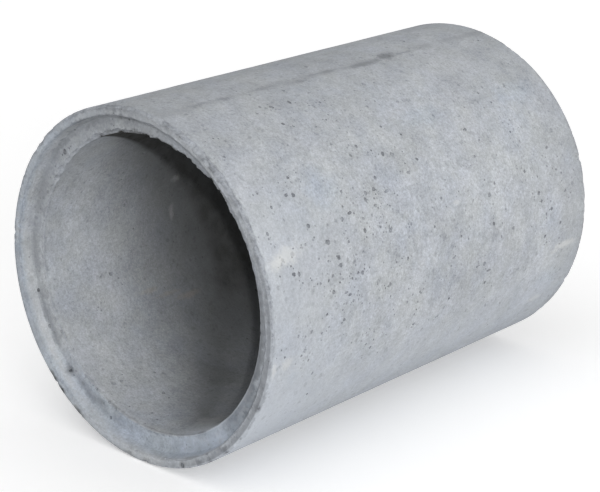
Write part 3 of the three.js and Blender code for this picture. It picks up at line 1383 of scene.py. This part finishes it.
@dataclass
class Coat:
    """The colour of a surface while it is being painted.

    Attributes:
        graph: The material's tree.
        point: The point on the surface.
        place: The point's place on the pipe.
        masks: Where each region of the surface is.
        colour: The colour so far.
    """

    graph: Graph
    point: Socket
    place: Sockets
    masks: Mapping[Region, Socket]
    colour: Feed

    def lay(self, amount: Feed, colour: Feed, blend: str = "MIX") -> None:
        """Lays a colour over the one so far.

        Args:
            amount: How much of the new colour shows.
            colour: The new colour.
            blend: How it is laid on.
        """
        self.colour = self.graph.tint(amount, self.colour, colour, blend)

    def mottle(self, size: float, low: float, high: float, offset: tuple[float, float, float]) -> Socket:
        """Wires a cloudy tone.

        Args:
            size: The size of its clouds.
            low: Its lowest level.
            high: Its highest level.
            offset: Where in the noise it is taken.

        Returns:
            The level.
        """
        feeds = {"Point": self.point, "Cloud Size": size, "Low": low, "High": high, "Offset": offset}
        return Mottle().place(self.graph, feeds)["Level"]


@dataclass(frozen=True)
class ConcreteFinish:
    """Weathered grey concrete with stains, pores, broken edges and a darker crown, with painted shade and a
    painted shadow in the bore, painted shade in its voids and the socket's corners, and painted floor light on
    the lower flank.

    Attributes:
        body: Colour of the cement skin.
        cool: Colour of the bluish clouds.
        warm: Colour of the yellowish clouds.
        grime: Colour that darkens the crown, and of the dirt in the mould lines.
        lime: Colour of the lime patches.
        bloom_and_floor_light: Colour of the pale bloom near the socket, and of the painted light from the
            floor on the lower flank.
        rust: Colour of the rusty streaks.
        void_shade_and_dirt: What is left of the colour inside the air voids and the painted pores: painted
            shade with dirt.
        chill: What is left of the colour where it is bluish.
        inside: Colour of the broken faces.
        stone: Colour of the stones in the broken faces.
        painted_bore_shade: Colour of the painted shade far into the bore.
        painted_shadow_black: Colour of the painted shadow in the bore, which also colours the near-black
            marks.
        soil: Colour of the dirt on the edges, and of the dirt with painted shade in the socket's root and
            corners.
        least_shaded_angle: Where the painted shade in the bore starts furthest in, in degrees round the axis.
        cloud_layers: Size, swing and place in the noise of each layer of clouds, from large to small.
        pore_layers: Spacing, share and strength of each layer of pores that are too small to be cut.
        stones_per_metre: How close the stones lie in the broken faces.
        crown_darkening: How much darker the crown is.
        tongue_dirt: How much dirt lies at the tongue's end.
        roughness: Mean roughness of the skin.
        roughness_swing: How far the roughness strays from its mean.
        shine: How strongly the skin mirrors.
        grain: Height of the finest relief, in metres.
        grain_strength: How much of that relief shows.
    """

    body: Colour = (0.444, 0.464, 0.500, 1.0)
    cool: Colour = (0.390, 0.420, 0.472, 1.0)
    warm: Colour = (0.456, 0.474, 0.480, 1.0)
    grime: Colour = (0.290, 0.304, 0.320, 1.0)
    lime: Colour = (0.700, 0.705, 0.690, 1.0)
    bloom_and_floor_light: Colour = (0.600, 0.640, 0.700, 1.0)
    rust: Colour = (0.400, 0.345, 0.270, 1.0)
    void_shade_and_dirt: Colour = (0.500, 0.500, 0.505, 1.0)
    chill: Colour = (0.890, 0.940, 1.000, 1.0)
    inside: Colour = (0.330, 0.350, 0.385, 1.0)
    stone: Colour = (0.235, 0.246, 0.268, 1.0)
    painted_bore_shade: Colour = (0.100, 0.103, 0.102, 1.0)
    painted_shadow_black: Colour = (0.031, 0.030, 0.026, 1.0)
    soil: Colour = (0.165, 0.175, 0.190, 1.0)
    least_shaded_angle: float = -153.0
    cloud_layers: tuple[tuple[float, float, float], ...] = (
        (0.30, 0.045, 2.0),
        (0.130, 0.065, 6.0),
        (0.060, 0.07, 5.0),
        (0.028, 0.055, 8.0),
        (0.013, 0.065, 9.0),
        (0.0060, 0.12, 1.0),
        (0.0032, 0.13, 4.0),
    )
    pore_layers: tuple[tuple[float, float, float], ...] = (
        (0.022, 0.40, 0.34),
        (0.014, 0.46, 0.44),
        (0.009, 0.50, 0.44),
    )
    stones_per_metre: float = 190.0
    crown_darkening: float = 0.30
    tongue_dirt: float = 0.22
    roughness: float = 0.92
    roughness_swing: float = 0.05
    shine: float = 0.25
    grain: float = 1.0 * MM
    grain_strength: float = 0.9

    def stain_colours(self) -> Mapping[Stain, Colour]:
        """Returns the colour of each kind of stain."""
        return {
            Stain.GRIME: self.grime,
            Stain.COOL: self.chill,
            Stain.LIME: self.lime,
            Stain.RUST: self.rust,
            Stain.SOIL_AND_SHADE: self.soil,
            Stain.NEAR_BLACK: self.painted_shadow_black,
        }

    def material(self, section: PipeSection) -> bpy.types.Material:
        """Builds the material for a pipe of that section.

        Args:
            section: The pipe's sizes, by which the regions of the surface are told apart.

        Returns:
            The material.
        """
        finish, graph = new_material("weathered_concrete")
        point = graph.out("ShaderNodeTexCoord", output="Object")
        feeds = {"Point": point, "Axis Height": section.barrel_radius, "Socket Face": section.socket_face}
        place = PlaceOnFinish().place(graph, feeds)
        coat = Coat(graph, point, place, self.region_masks(graph, place, section), self.body)
        self.cloud(coat)
        self.weather_and_light_barrel(coat)
        self.break_edges(coat)
        self.shade_and_blotch_bore(coat)
        self.edge_dirt_and_shade(coat, section)
        self.mark(coat)
        self.pit(coat)

        low, high = self.roughness - self.roughness_swing, self.roughness + self.roughness_swing
        relief = self.relief(graph, point)
        bump = {"Strength": self.grain_strength, "Distance": self.grain, "Height": relief}
        feeds = {
            "Base Color": coat.colour,
            "Roughness": graph.ramp(graph.noise(point, 60.0, detail=3.0), 0.3, 0.7, low, high),
            "Specular IOR Level": self.shine,
            "Normal": graph.out("ShaderNodeBump", bump),
        }
        graph.node("ShaderNodeOutputMaterial", {"Surface": graph.out("ShaderNodeBsdfPrincipled", feeds)})
        return finish

    @staticmethod
    def region_masks(graph: Graph, place: Sockets, section: PipeSection) -> Mapping[Region, Socket]:
        """Wires a mask for each region of the surface.

        Args:
            graph: The material's tree.
            place: The point's place on the pipe.
            section: The pipe's sizes.

        Returns:
            The masks.
        """
        radius, along = place["Radius"], place["Along"]
        depth, bore_radius = section.socket_depth, section.bore_radius
        barrel = graph.ramp(graph.minus(section.barrel_radius, radius), 2.5 * MM, 6 * MM, 1.0, 0.0)
        bore = graph.ramp(radius, bore_radius + 2 * MM, bore_radius + 5 * MM, 1.0, 0.0)
        neither = graph.minus(graph.minus(1.0, barrel), bore)
        near = graph.ramp(along, depth + 4 * MM, depth + 8 * MM, 1.0, 0.0)
        inmost = graph.ramp(along, depth - 4 * MM, depth - 1.5 * MM)
        return {
            Region.WHOLE: graph.larger(graph.larger(barrel, bore), neither),
            Region.BARREL: barrel,
            Region.SOCKET: graph.times(near, neither),
            Region.RING: graph.times(inmost, graph.minus(1.0, barrel)),
            Region.BORE: bore,
        }

    def cloud(self, coat: Coat) -> None:
        """Lays bluish and yellowish clouds on the skin, and mottles and speckle of many sizes.

        Args:
            coat: The coat of the cement skin.
        """
        coat.lay(coat.mottle(0.13, 0.0, 0.8, (0.0, 0.0, 0.0)), self.cool)
        coat.lay(coat.mottle(0.07, 0.0, 0.7, (3.0, 1.0, 7.0)), self.warm)
        level = 1.0
        for size, swing, offset in self.cloud_layers:
            level = coat.graph.times(coat.mottle(size, 1 - swing, 1 + swing, (offset, 0, 0)), level)
        coat.colour = coat.graph.scaled(coat.colour, level)

    def weather_and_light_barrel(self, coat: Coat) -> None:
        """Darkens the crown, lays dirt at the tongue and the pale bloom near the socket, and paints the light
        that the floor throws on the lower flank.

        Args:
            coat: The coat with its clouds.
        """
        graph, angle, along = coat.graph, coat.place["Angle"], coat.place["Along"]
        # Darker towards the crown.
        rise = graph.ramp(angle, 30.0, 80.0)
        fall = graph.ramp(angle, 118.0, 165.0, 1.0, 0.0)
        coat.lay(graph.times(graph.times(rise, fall), self.crown_darkening), self.grime)
        below_crown = graph.ramp(angle, 22.0, 60.0, 1.0, 0.0)
        near_socket = graph.times(graph.ramp(along, 0.0, 0.34, 0.34, 0.0), below_crown)
        # Painted light: the lower flank is made paler, as if lit from the floor.
        painted_floor_light = graph.ramp(angle, -36.0, -4.0, 0.36, 0.0)
        off_the_ground = graph.ramp(angle, -85.0, -55.0)
        coat.lay(graph.times(graph.plus(painted_floor_light, near_socket), off_the_ground), self.bloom_and_floor_light)
        coat.lay(graph.ramp(along, 0.84, 0.98, 0.0, self.tongue_dirt), self.grime)

    def break_edges(self, coat: Coat) -> None:
        """Lays stony faces where the edges have broken.

        Args:
            coat: The coat of the weathered skin.
        """
        graph, point = coat.graph, coat.point
        broken = graph.out("ShaderNodeAttribute", output="Fac", attribute_name=BREAK_MASK)
        feeds = {"Vector": point, "Scale": self.stones_per_metre}
        cells = graph.node("ShaderNodeTexVoronoi", feeds).outputs
        chance = graph.ramp(graph.separate(cells["Color"])[1], 0.30, 0.90, 0.0, 0.8)
        pebble = graph.times(graph.ramp(cells["Distance"], 0.20, 0.55, 1.0, 0.0), chance)
        gritty = graph.ramp(graph.noise(point, 320.0, detail=4.0, roughness=0.65), 0.3, 0.7, 0.8, 1.2)
        stony = graph.scaled(graph.tint(pebble, self.inside, self.stone), gritty)
        fresh = graph.ramp(graph.noise(point, 55.0, detail=3.0), 0.35, 0.65, 0.35, 0.85)
        coat.lay(graph.times(broken, fresh), stony)

    def shade_and_blotch_bore(self, coat: Coat) -> None:
        """Paints shade into the bore that darkens with depth, and a near-black painted shadow where the front
        light is cut off by the rim; and dulls the bore and the socket with blotches of dirt.

        Args:
            coat: The coat with its broken faces.
        """
        graph, along = coat.graph, coat.place["Along"]
        turn = graph.turn(coat.place["Angle"], self.least_shaded_angle)
        flattened = graph.larger(turn, graph.times(turn, 0.8))
        # depth and shade: how far in a point lies, counted along the way light comes in past the best-lit
        # side; the painted shade grows with depth, and the painted shadow starts at a set shade.
        depth, shade = (
            graph.over(along, graph.larger(graph.math("COSINE", graph.math("RADIANS", bent)), least))
            for bent, least in ((flattened, 0.3), (graph.plus(turn, 7.0), 0.08))
        )
        past = graph.times(graph.ramp(along, 0.62, 0.90, 1.0, 0.0), coat.masks[Region.BORE])
        # Painted shade: darker the further in a point lies, as if little light reached it, with less of it far
        # in on the bore's lower flank, where light from the floor would reach.
        painted_bore_shade = graph.times(graph.ramp(depth, 0.15, 0.50), past)
        lower_side_relief = graph.times(graph.ramp(turn, 18.0, 45.0, 0.0, 0.28), graph.ramp(depth, 0.36, 0.56))
        coat.lay(graph.times(painted_bore_shade, graph.minus(0.9, lower_side_relief)), self.painted_bore_shade)
        # Painted shadow: near-black where the front light would be cut off by the rim.
        above, below = graph.ramp(turn, 2.0, 22.0, 1.0, 0.0), graph.ramp(turn, -78.0, -50.0, 1.0, 0.60)
        painted_shadow = graph.times(graph.ramp(shade, 0.465, 0.512), graph.times(above, below))
        coat.lay(graph.times(painted_shadow, past), self.painted_shadow_black)
        cloud = graph.noise(coat.point, 24.0, detail=5.0, roughness=0.6)
        blotch = graph.ramp(cloud, 0.36, 0.62, 0.0, 0.34)
        within = graph.larger(coat.masks[Region.SOCKET], graph.times(coat.masks[Region.BORE], 0.35))
        coat.lay(graph.times(blotch, within), self.grime)

    def edge_dirt_and_shade(self, coat: Coat, section: PipeSection) -> None:
        """Lays the dirty bands along the section's edges, the bands of dirt and painted shade in the socket's
        root and under the top of its lip, and a painted shadow just inside the top of the bore.

        Args:
            coat: The coat with the tones of the bore.
            section: The pipe's sizes.
        """
        graph = coat.graph
        frayed = graph.noise(coat.point, 70.0, detail=5.0, roughness=0.65)
        ragged = graph.math("MULTIPLY_ADD", frayed, 3.2, -1.6)
        where = {name: coat.place[name] for name in ("Radius", "Along", "Angle")} | {"Ragged": ragged}
        patchy = graph.ramp(graph.noise(coat.point, 13.0, detail=3.0), 0.36, 0.58, 0.35, 1.0)
        for band in self.bands(section):
            feeds = {
                "Edge Radius": band.radius,
                "Edge Along": band.along,
                "Width": band.width,
                "Strength": band.strength,
                "Centre Angle": band.centre,
                "Half Angle": band.half_angle,
            }
            mask = graph.times(EdgeMask().place(graph, where | feeds)["Mask"], patchy)
            coat.lay(graph.times(mask, coat.masks[band.region]), self.stain_colours()[band.stain])

    @staticmethod
    def bands(section: PipeSection) -> tuple[EdgeBand, ...]:
        """Returns the dirty bands along the section's edges, the bands of dirt and painted shade in the
        socket's root and under the top of its lip, and a painted shadow just inside the top of the bore.
        """
        barrel, mouth, root = section.barrel_radius, section.mouth_radius, section.root_radius
        bore, tip = section.bore_radius, section.tongue_tip_radius
        tongue_root = mouth - section.radial_gap
        depth, shoulder, end = section.socket_depth, section.barrel_length, section.overall_length
        return (
            EdgeBand(barrel, 0.0, 9 * MM, 0.50),
            EdgeBand(barrel - 3 * MM, 0.0, 13 * MM, 0.36, 72.0, 52.0),
            EdgeBand(mouth, 0.0, 5 * MM, 0.34),
            # The next five bands are dirt with painted shade: on the socket's wall under the top of the lip,
            # in the socket's root and on the ring beside it.
            EdgeBand(mouth - 1 * MM, 5 * MM, 6 * MM, 0.60, 98.0, 34.0),
            EdgeBand(root, depth, 11 * MM, 0.55, 70.0, 130.0),
            EdgeBand(root - 9 * MM, depth, 20 * MM, 0.42, 180.0, 100.0, region=Region.RING),
            EdgeBand(root - 4 * MM, depth, 9 * MM, 0.34, -138.0, 40.0, region=Region.RING),
            EdgeBand(root - 3 * MM, depth, 11 * MM, 0.56, -14.0, 42.0),
            EdgeBand(bore, depth, 8 * MM, 0.40, 60.0, 75.0),
            EdgeBand(bore, depth, 8 * MM, 0.40, 180.0, 80.0),
            # Painted shadow just inside the top of the bore, where the front light is cut off by the rim.
            EdgeBand(bore - 2 * MM, depth + 8 * MM, 14 * MM, 0.92, 91.0, 38.0, Stain.NEAR_BLACK),
            EdgeBand(bore + 5 * MM, depth, 14 * MM, 0.66, -28.0, 50.0),
            EdgeBand(bore + 1 * MM, depth, 9 * MM, 0.62, 6.0, 46.0),
            EdgeBand(bore, depth, 7 * MM, 0.58, -86.0, 52.0),
            EdgeBand(barrel, shoulder, 8 * MM, 0.50),
            EdgeBand(tongue_root, shoulder, 8 * MM, 0.55),
            EdgeBand(tip, end, 6 * MM, 0.45),
            EdgeBand(bore, end, 7 * MM, 0.40),
        )

    def mark(self, coat: Coat) -> None:
        """Lays the mould lines and the stains.

        Args:
            coat: The coat with its dirty edges.
        """
        graph = coat.graph
        fray = graph.noise(coat.point, 34.0, detail=5.0, roughness=0.6)
        fine = graph.noise(coat.point, 150.0, detail=3.0, roughness=0.6)
        ragged = graph.math("MULTIPLY_ADD", fray, 1.6, graph.math("MULTIPLY_ADD", fine, 1.1, -1.35))
        along_it = {"Angle": coat.place["Angle"], "Along": coat.place["Along"], "Ragged": ragged}
        for line in MOULD_LINES:
            feeds = {"Line Angle": line.angle, "Half Width": line.half_width, "Strength": line.stain}
            mask = LineMask().place(graph, along_it | feeds)["Mask"]
            coat.lay(graph.times(mask, coat.masks[Region.BARREL]), self.grime)
        for (region, stain), patches in PATCHES.items():
            blend = "MULTIPLY" if stain is Stain.COOL else "MIX"
            for patch in patches:
                feeds = {
                    "Centre Angle": patch.angle,
                    "Centre Along": patch.along * MM,
                    "Half Angle": patch.half_angle,
                    "Half Length": patch.half_length * MM,
                    "Strength": patch.strength,
                    "Radius": coat.place["Radius"],
                    "Centre Radius": patch.radius * MM,
                    "Half Depth": patch.half_depth * MM,
                }
                mask = PatchMask().place(graph, along_it | feeds)["Mask"]
                coat.lay(graph.times(mask, coat.masks[region]), self.stain_colours()[stain], blend)

    def pit(self, coat: Coat) -> None:
        """Paints the pores that are too small to be cut as dark spots, and darkens the voids' insides: painted
        shade with dirt in the holes.

        Args:
            coat: The coat with its marks.
        """
        graph, point = coat.graph, coat.point
        pitted = graph.ramp(wire_pitted(graph, point, coat.place), 0.0, 1.0, 0.70, 1.0)
        # Painted pores: dark spots of painted shade with dirt.
        for spacing, share, strength in self.pore_layers:
            mask = PoreSpots().place(graph, {"Point": point, "Spacing": spacing, "Share": share})["Mask"]
            coat.lay(graph.times(mask, pitted, strength), self.void_shade_and_dirt, "MULTIPLY")
        # Darkens the insides of the cut voids: painted shade with dirt.
        void_shade_and_dirt = graph.out("ShaderNodeAttribute", output="Fac", attribute_name=VOID_MASK)
        filled = graph.ramp(graph.noise(point, 45.0), 0.38, 0.62, 0.4, 0.95)
        coat.lay(graph.times(void_shade_and_dirt, filled), self.void_shade_and_dirt, "MULTIPLY")

    @staticmethod
    def relief(graph: Graph, point: Feed) -> Socket:
        """Wires the height of the grain, which is finer than the mesh."""
        coarse = graph.noise(point, 170.0, detail=4.0, roughness=0.6)
        return graph.plus(coarse, graph.times(graph.noise(point, 900.0), 0.4))


# ---------------------------------------------------------------------------------------------- the pipe


@dataclass
class ConcretePipe:
    """The cast pipe: a plain barrel with a socket in one end and a tongue on the other.

    Attributes:
        section: The pipe's sizes.
        finish: How its surface looks.
        angle_step: Degrees between two rows of points round the axis.
        barrel_step: Distance between two points along the barrel.
        bore_step: Distance between two points along the bore.
        face_step: Distance between two points across the socket's and the tongue's faces.
        arc_steps: Steps of each rounded corner.
        wave_depth: Depth of the low waves of the surface.
        ripple_depth: Depth of the ripples on them.
        pores: Pores per square metre where the casting is pitted most.
        voids: Larger air voids per square metre there.
        void_scale: Width of the marked voids over their listed widths.
        seed: Seed of the small voids.
        crease: Smallest angle between two faces, in degrees, that shows as an edge.
    """

    section: PipeSection
    finish: ConcreteFinish = ConcreteFinish()
    angle_step: float = 2.0
    barrel_step: float = 16 * MM
    bore_step: float = 24 * MM
    face_step: float = 5 * MM
    arc_steps: int = 3
    wave_depth: float = 0.9 * MM
    ripple_depth: float = 0.4 * MM
    pores: float = 800.0
    voids: float = 270.0
    void_scale: float = 1.18
    seed: int = 7
    crease: float = 38.0

    def arrises(self) -> tuple[Arris, ...]:
        """Returns the pipe's six outside edges, each with how badly it is chipped."""
        section = self.section
        barrel, mouth, bore = section.barrel_radius, section.mouth_radius, section.bore_radius
        tip, depth = section.tongue_tip_radius, section.socket_depth
        shoulder, end = section.barrel_length, section.overall_length
        return (
            Arris(barrel, 0.0, (1, -1), 2.3 * MM, 3.6 * MM, 110, 19 * MM, 76.0, 11),
            Arris(mouth, 0.0, (-1, -1), 2.2 * MM, 0.0, 70, 11 * MM, -90.0, 12),
            Arris(bore, depth, (-1, -1), 1.8 * MM, 5.0 * MM, 90, 12 * MM, 92.0, 13),
            Arris(barrel, shoulder, (1, 1), 2.8 * MM, 0.0, 80, 17 * MM, -10.0, 14),
            Arris(tip, end, (1, 1), 2.6 * MM, 0.0, 60, 12 * MM, -90.0, 15),
            Arris(bore, end, (-1, 1), 2.0 * MM, 0.0, 50, 10 * MM, 120.0, 16),
        )

    def profile(self) -> list[tuple[float, float]]:
        """Returns the half section as points of radius and distance along, with rounded corners."""
        corners = self.section.corners()
        outline: list[tuple[float, float]] = []
        for index, corner in enumerate(corners):
            here = Vector((corner.radius, corner.along))
            before, after = corners[index - 1], corners[(index + 1) % len(corners)]
            back = (Vector((before.radius, before.along)) - here).normalized()
            ahead = (Vector((after.radius, after.along)) - here).normalized()
            half = back.angle(ahead) / 2
            centre = here + (back + ahead).normalized() * (corner.rounding / math.sin(half))
            reach = corner.rounding / math.tan(half)
            start, end = ((here + side * reach - centre).normalized() for side in (back, ahead))
            turns = [start.slerp(end, step / self.arc_steps) for step in range(self.arc_steps + 1)]
            arc = [centre + turn * corner.rounding for turn in turns]
            outline += self.run_to(outline, arc[0]) + [tuple(spot) for spot in arc]
        return outline + self.run_to(outline, Vector(outline[0]))

    def run_to(self, outline: list[tuple[float, float]], end: Vector) -> list[tuple[float, float]]:
        """Divides the straight run from the outline's last point to the next one.

        Args:
            outline: The points so far.
            end: The point where the run ends.

        Returns:
            The points between the two.
        """
        if not outline:
            return []
        start = Vector(outline[-1])
        step = self.face_step
        if (end - start).length > 0.5 * self.section.overall_length:
            step = self.barrel_step if end.x > self.section.mouth_radius else self.bore_step
        count = max(1, round((end - start).length / step))
        return [tuple(start.lerp(end, index / count)) for index in range(1, count)]

    def angles(self) -> list[float]:
        """Returns the angles of the rows round the axis, closer where a fin runs."""
        fins = [line.angle + side * FIN_HALF_ANGLE for line in MOULD_LINES for side in (-1, 0, 1)]
        rows = round(2 * HALF_TURN / self.angle_step)
        even = [index * self.angle_step - HALF_TURN for index in range(rows)]
        gap = self.angle_step / 3
        return sorted(fins + [angle for angle in even if all(abs(angle - fin) > gap for fin in fins)])

    def casting(self) -> bpy.types.Mesh:
        """Revolves the section into one closed mesh."""
        profile, angles, place = self.profile(), self.angles(), self.section.point
        points = [place(angle, along, radius) for angle in angles for radius, along in profile]
        rows, columns = len(angles), len(profile)
        faces = []
        for row in range(rows):
            here, there = row * columns, (row + 1) % rows * columns
            for column in range(columns):
                beside = (column + 1) % columns
                faces.append((here + column, here + beside, there + beside, there + column))
        mesh = bpy.data.meshes.new("casting")
        mesh.from_pydata(points, [], faces)
        shape = bmesh.new()
        shape.from_mesh(mesh)
        bmesh.ops.recalc_face_normals(shape, faces=shape.faces)
        shape.to_mesh(mesh)
        shape.free()
        return mesh

    def marks(self) -> bpy.types.Object:
        """Makes the points that the larger voids are cut at, with each void's width and stretch."""
        mesh = bpy.data.meshes.new("void_marks")
        outer, voids = self.section.barrel_radius, BARREL_VOIDS + INNER_VOIDS
        centres = [self.section.point(v.angle, v.along * MM, outer - v.inset * MM) for v in voids]
        mesh.from_pydata(centres, [], [])
        measures = {
            VOID_WIDTH: [void.width * self.void_scale * MM for void in voids],
            VOID_STRETCH: [void.stretch for void in voids],
        }
        for name, values in measures.items():
            mesh.attributes.new(name, "FLOAT", "POINT").data.foreach_set("value", values)
        return hung("void_marks", mesh)

    def build(self) -> bpy.types.Object:
        """Casts the pipe, wears it and returns it as a plain mesh object."""
        piece = hung("weathered_pipe", self.casting())
        marks = self.marks()
        finish = self.finish.material(self.section)
        modifier = piece.modifiers.new("weathering", "NODES")
        modifier.node_group = WeatheredCasting(self.arrises()).tree()
        values = {
            "Marks": marks,
            "Finish": finish,
            "Axis Height": self.section.barrel_radius,
            "Socket Face": self.section.socket_face,
            "Wave Depth": self.wave_depth,
            "Ripple Depth": self.ripple_depth,
            "Bore Radius": self.section.bore_radius,
            "Pores per Square Metre": self.pores,
            "Voids per Square Metre": self.voids,
            "Seed": self.seed,
        }
        for socket in modifier.node_group.interface.items_tree:
            if socket.in_out == "INPUT" and socket.name in values:
                modifier[socket.identifier] = values[socket.name]
        depsgraph = bpy.context.evaluated_depsgraph_get()
        worn = piece.evaluated_get(depsgraph)
        mesh = bpy.data.meshes.new_from_object(worn, preserve_all_data_layers=True, depsgraph=depsgraph)
        piece.modifiers.clear()
        piece.data = mesh
        bpy.data.objects.remove(marks)
        mesh.materials.clear()
        mesh.materials.append(finish)
        self.shade(mesh)
        return piece

    def shade(self, mesh: bpy.types.Mesh) -> None:
        """Smooths the faces, and sharpens the creases of the casting and the rims of voids and breaks.

        Args:
            mesh: The worn casting.
        """
        shape = bmesh.new()
        shape.from_mesh(mesh)
        masks = [shape.faces.layers.float[name] for name in (VOID_MASK, BREAK_MASK)]
        limit = math.radians(self.crease)
        for face in shape.faces:
            face.smooth = True
            face.material_index = 0
        for edge in shape.edges:
            first, second = edge.link_faces
            rim = any(first[mask] != second[mask] for mask in masks)
            cut = any(first[mask] > 0.5 for mask in masks)
            edge.smooth = not rim and (cut or edge.calc_face_angle(0.0) < limit)
        shape.to_mesh(mesh)
        shape.free()

    def dress(self, piece: bpy.types.Object) -> None:
        """Hides the imported part that the piece replaces, and hangs the piece on the root body."""
        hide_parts(NODE)
        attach(piece, "root")


# -------------------------------------------------------------------------------------------- the studio


class Facing(Enum):
    """Where a light comes from, as azimuth and elevation in degrees."""

    KEY = (62.0, 13.0)
    FRONT = (44.9, 21.0)
    OVERHEAD = (40.0, 72.0)


@dataclass(frozen=True)
class SoftLight:
    """A wide, distant light.

    Attributes:
        name: The light's name.
        facing: Where it comes from.
        level: How bright it makes a white surface that faces it, where 1 is white.
        spread: The angle that it fills, in degrees.
    """

    name: str
    facing: Facing
    level: float
    spread: float

    def build(self) -> None:
        """Hangs the light."""
        lamp = bpy.data.lights.new(self.name, "SUN")
        lamp.energy = math.pi * self.level
        lamp.angle = math.radians(self.spread)
        holder = hung(self.name, lamp)
        holder.rotation_mode = "QUATERNION"
        holder.rotation_quaternion = direction(*self.facing.value).to_track_quat("Z", "Y")


def direction(azimuth: float, elevation: float) -> Vector:
    """Returns the unit vector towards an azimuth and an elevation.

    Args:
        azimuth: Degrees from -Y towards +X.
        elevation: Degrees above the floor.

    Returns:
        The vector.
    """
    side, rise = math.radians(azimuth), math.radians(elevation)
    return Vector((math.sin(side) * math.cos(rise), -math.cos(side) * math.cos(rise), math.sin(rise)))


@dataclass(frozen=True)
class Studio:
    """A pale floor, soft lights and an even sky.

    Attributes:
        lights: The lights.
        sky: Brightness of the sky on a surface that faces it.
        floor_size: Side of the floor.
        floor_base: How pale the floor is to everything but the camera.
        floor_lift: What the floor adds to its own brightness for the camera, so that it shows white.
    """

    lights: tuple[SoftLight, ...] = (
        SoftLight("key_light", Facing.KEY, 0.34, 28.0),
        SoftLight("front_light", Facing.FRONT, 0.24, 1.5),
        SoftLight("overhead_light", Facing.OVERHEAD, 0.30, 80.0),
    )
    sky: float = 0.35
    floor_size: float = 400.0
    floor_base: float = 0.84
    floor_lift: float = 0.235

    def build(self) -> None:
        """Lays the floor, lights the sky and hangs the lights."""
        self.lay_floor()
        self.light_sky()
        for light in self.lights:
            light.build()

    def lay_floor(self) -> None:
        """Lays a pale floor that keeps shadows and shows white to the camera."""
        half = self.floor_size / 2
        mesh = bpy.data.meshes.new("studio_floor")
        corners = [(-half, -half, 0.0), (half, -half, 0.0), (half, half, 0.0), (-half, half, 0.0)]
        mesh.from_pydata(corners, [], [(0, 1, 2, 3)])
        floor = hung("studio_floor", mesh)
        paint, graph = new_material("studio_floor")
        seen = self.seen_directly(graph)
        base = (self.floor_base, self.floor_base, self.floor_base, 1.0)
        cloth = graph.out("ShaderNodeBsdfDiffuse", {"Color": graph.tint(seen, base, WHITE)})
        glow = graph.out("ShaderNodeEmission", {"Strength": graph.times(seen, self.floor_lift)})
        both = graph.out("ShaderNodeAddShader", {0: cloth, 1: glow})
        graph.node("ShaderNodeOutputMaterial", {"Surface": both})
        mesh.materials.append(paint)

    def light_sky(self) -> None:
        """Lights the sky evenly and shows it white to the camera."""
        sky = bpy.data.worlds.new("studio_sky")
        sky.use_nodes = True
        sky.node_tree.nodes.clear()
        graph = Graph(sky.node_tree)
        strength = graph.math("MULTIPLY_ADD", self.seen_directly(graph), 1.0 - self.sky, self.sky)
        glow = graph.out("ShaderNodeBackground", {"Color": WHITE, "Strength": strength})
        graph.node("ShaderNodeOutputWorld", {"Surface": glow})
        bpy.context.scene.world = sky

    @staticmethod
    def seen_directly(graph: Graph) -> Socket:
        """Wires whether a ray comes from the camera, a reflection or a glass."""
        path = graph.node("ShaderNodeLightPath").outputs
        seen = graph.larger(path["Is Camera Ray"], path["Is Glossy Ray"])
        return graph.larger(seen, path["Is Transmission Ray"])


@dataclass(frozen=True)
class StudioCamera:
    """The camera, which looks at the socket from its right.

    Attributes:
        place: Where it stands.
        azimuth: The side from which it looks, in degrees.
        elevation: How far above the horizon it stands, in degrees.
        lens: Focal length in millimetres.
        sensor: Width of the sensor in millimetres.
        sight: How far it sees, in metres.
    """

    place: tuple[float, float, float] = (2.4855, -2.7945, 1.5915)
    azimuth: float = 42.061
    elevation: float = 18.776
    lens: float = 112.0
    sensor: float = 36.0
    sight: float = 1000.0

    def build(self) -> None:
        """Sets the camera up and makes it the scene's own."""
        camera = bpy.data.cameras.new("studio_camera")
        camera.lens = self.lens
        camera.sensor_width = self.sensor
        camera.clip_end = self.sight
        holder = hung("studio_camera", camera)
        holder.location = self.place
        holder.rotation_mode = "QUATERNION"
        holder.rotation_quaternion = (-direction(self.azimuth, self.elevation)).to_track_quat("-Z", "Y")
        bpy.context.scene.camera = holder


def main() -> None:
    """Builds the studio and the pipe, and reports each piece."""
    logging.basicConfig(level=logging.INFO, format="%(message)s")
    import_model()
    bpy.context.scene.view_settings.view_transform = "Standard"
    StudioCamera().build()
    Studio().build()
    pipe = ConcretePipe(PipeSection.of_frame(NODE))
    piece = pipe.build()
    pipe.dress(piece)
    triangles = sum(len(face.vertices) - 2 for face in piece.data.polygons)
    LOG.info("%s: %d triangles", piece.name, triangles)


if __name__ == "__main__":
    main()
